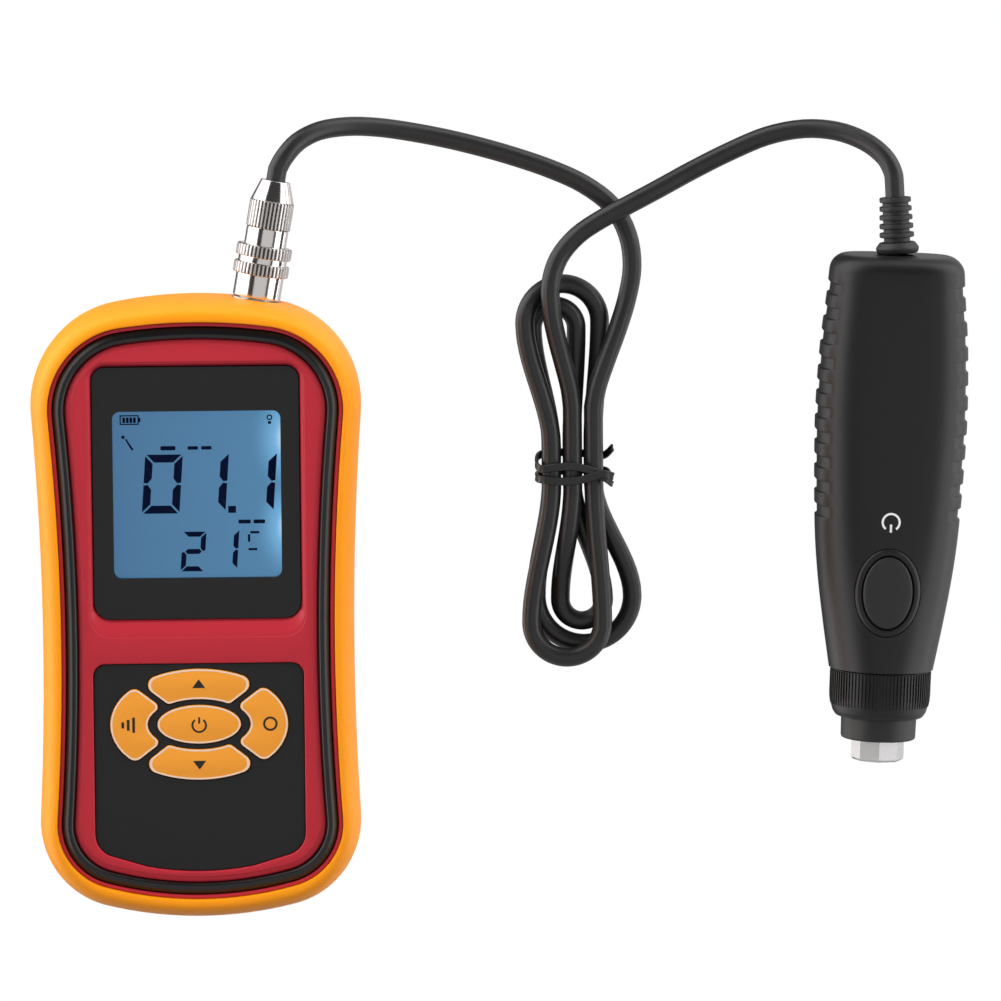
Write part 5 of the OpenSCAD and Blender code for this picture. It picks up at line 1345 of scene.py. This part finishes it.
# %% [markdown]
# ## Finishes of the other solids
#
# The solids that keep their CAD shape get their finish here: the shells and board inside, the
# jack, the cells and the sensor.

# %% CAD finishes
CAD_FINISH = {
    RED: ["rear_case", "battery_door"], NICKEL: ["jack_body", "jack_nut", "battery_contacts"],
    WHITE: ["lcd_backlight", "lcd_holder", "jack_insulator"], SOFT_BLACK: ["zebra_strip"],
    STEEL: ["key_domes", "battery_springs", "door_screw", "case_screws", "board_screws",
            "probe_screws", "probe_switch", "sensor_base"],
    BOARD: ["main_board", "probe_board"], PANEL: ["board_parts", "nose_tube"],
    CELL: ["battery_cells"], CHROME: ["plug_body"], GOLD: ["plug_pin", "seismic_mass"],
    CERAMIC: ["piezo_stack"]}
for material, names in CAD_FINISH.items():
    for name in names:
        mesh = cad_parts[name].data
        mesh.materials.clear()
        mesh.materials.append(material)

# %% [markdown]

# %% [markdown]
# ## Studio
#
# The object lies on a white sheet under large soft lights. The camera sees the sheet as pure
# white, as in the cut-out photograph, while polished metal mirrors a room of its own.

# %% Studio
FLOOR_HALF = 3.0
FLOOR_Z = -0.0002
bpy.context.scene.view_settings.view_transform = "Standard"


def white_floor():
    material, tree, shader = new_material("white_paper_sweep")
    shader.inputs["Base Color"].default_value = colour("#F4F4F4")
    shader.inputs["Roughness"].default_value = 0.9
    bright = add(tree, "ShaderNodeEmission", {"Color": (1, 1, 1, 1), "Strength": 1.0})
    seen = add(tree, "ShaderNodeLightPath").outputs["Is Camera Ray"]
    mix_shaders(tree, seen, shader, bright, "Material Output")
    return material


floor_mesh = bpy.data.meshes.new("floor")
square = block(-FLOOR_HALF, -FLOOR_HALF, 2 * FLOOR_HALF, 2 * FLOOR_HALF)
floor_mesh.from_pydata(lift(square, FLOOR_Z), [], [(0, 1, 2, 3)])
floor_mesh.materials.append(white_floor())
floor = put("floor", floor_mesh)
floor.visible_glossy = False

# %% [markdown]
# Polished metal shows its room: a grey strip overhead, dark gaps beside it, then the white of the
# side lights, and black cards low down and at the far end. The world has these strips for mirrored
# rays only; all other rays see one even grey light.

# %% Room
EVEN_LIGHT = 0.16
MIRRORED_LIGHT = 2.5
FRONT_GREY = (0.24, 0.235, 0.235, 1)
# Strips as (degrees from overhead, brightness), for the near end of the room and the far end
NEAR_STRIPS = ((-144, 0.03), (-140, 0.25), (-128, 0.25), (-124, 1.0), (-52, 1.0), (-48, 0.02),
               (-25, 0.02), (-22, 0.27), (36, 0.27), (39, 0.02), (50, 0.02), (53, 1.0),
               (84, 1.0), (86, 0.03), (91, 0.03), (93, 1.0), (114, 1.0), (116, 0.05),
               (120, 0.05), (122, 0.8), (130, 0.25))
FAR_STRIPS = ((-144, 0.03), (-138, 0.25), (-124, 1.0), (-44, 1.0), (-36, 0.02), (52, 0.02),
              (60, 1.0), (122, 1.0), (130, 0.25))
world = bpy.data.worlds.new("studio")
world.use_nodes = True
bpy.context.scene.world = world
room = world.node_tree
way = add(room, "ShaderNodeTexCoord").outputs["Generated"]
part = add(room, "ShaderNodeSeparateXYZ", None, {0: way}).outputs
lean = add(room, "ShaderNodeMath", {"operation": "ARCTAN2"}, {0: part["X"], 1: part["Z"]})
whole_turn = spread(room, lean.outputs[0], -math.pi, math.pi)


def strip_ramp(strips):
    """Colour ramp over the whole turn round the room."""
    node = add(room, "ShaderNodeValToRGB", None, {"Fac": whole_turn})
    ramp = node.color_ramp
    ramp.elements.remove(ramp.elements[1])
    ramp.elements[0].position = 0.0
    ramp.elements[0].color = (0.03, 0.03, 0.03, 1)
    for degrees, value in strips:
        warm = (value, value * 0.97, value * 0.97, 1)
        ramp.elements.new(0.5 + degrees / 360).color = warm
    return node.outputs["Color"]


sides = mix_colours(room, spread(room, part["Y"], 0.3, 0.45), strip_ramp(NEAR_STRIPS),
                    strip_ramp(FAR_STRIPS))
strips = mix_colours(room, spread(room, part["Y"], -0.4, -0.62), sides, FRONT_GREY)
even = add(room, "ShaderNodeBackground", {"Color": (1, 1, 1, 1), "Strength": EVEN_LIGHT})
mirrored = add(room, "ShaderNodeBackground", {"Strength": MIRRORED_LIGHT}, {"Color": strips})
glossy = add(room, "ShaderNodeLightPath").outputs["Is Glossy Ray"]
mix_shaders(room, glossy, even, mirrored, "World Output")

# %% [markdown]
# Three soft boxes light the object from the left, the right and the far side.

# %% Lights
CENTRE = Vector((0.08, 0.03, 0.0))
SOFT_BOXES = {"left_softbox": ((-1.02, 0.2, 0.4), (0.6, 1.3), 13.5),
              "right_softbox": ((1.18, 0.15, 0.4), (0.6, 1.3), 12.5),
              "far_softbox": ((0.08, 1.05, 0.5), (1.3, 0.6), 11.0)}
for name, (place, size, power) in SOFT_BOXES.items():
    data = bpy.data.lights.new(name, "AREA")
    data.shape = "RECTANGLE"
    data.size, data.size_y = size
    data.energy = power
    light = put(name, data)
    light.location = place
    light.rotation_euler = (CENTRE - Vector(place)).to_track_quat("-Z", "Y").to_euler()
    light.visible_glossy = False
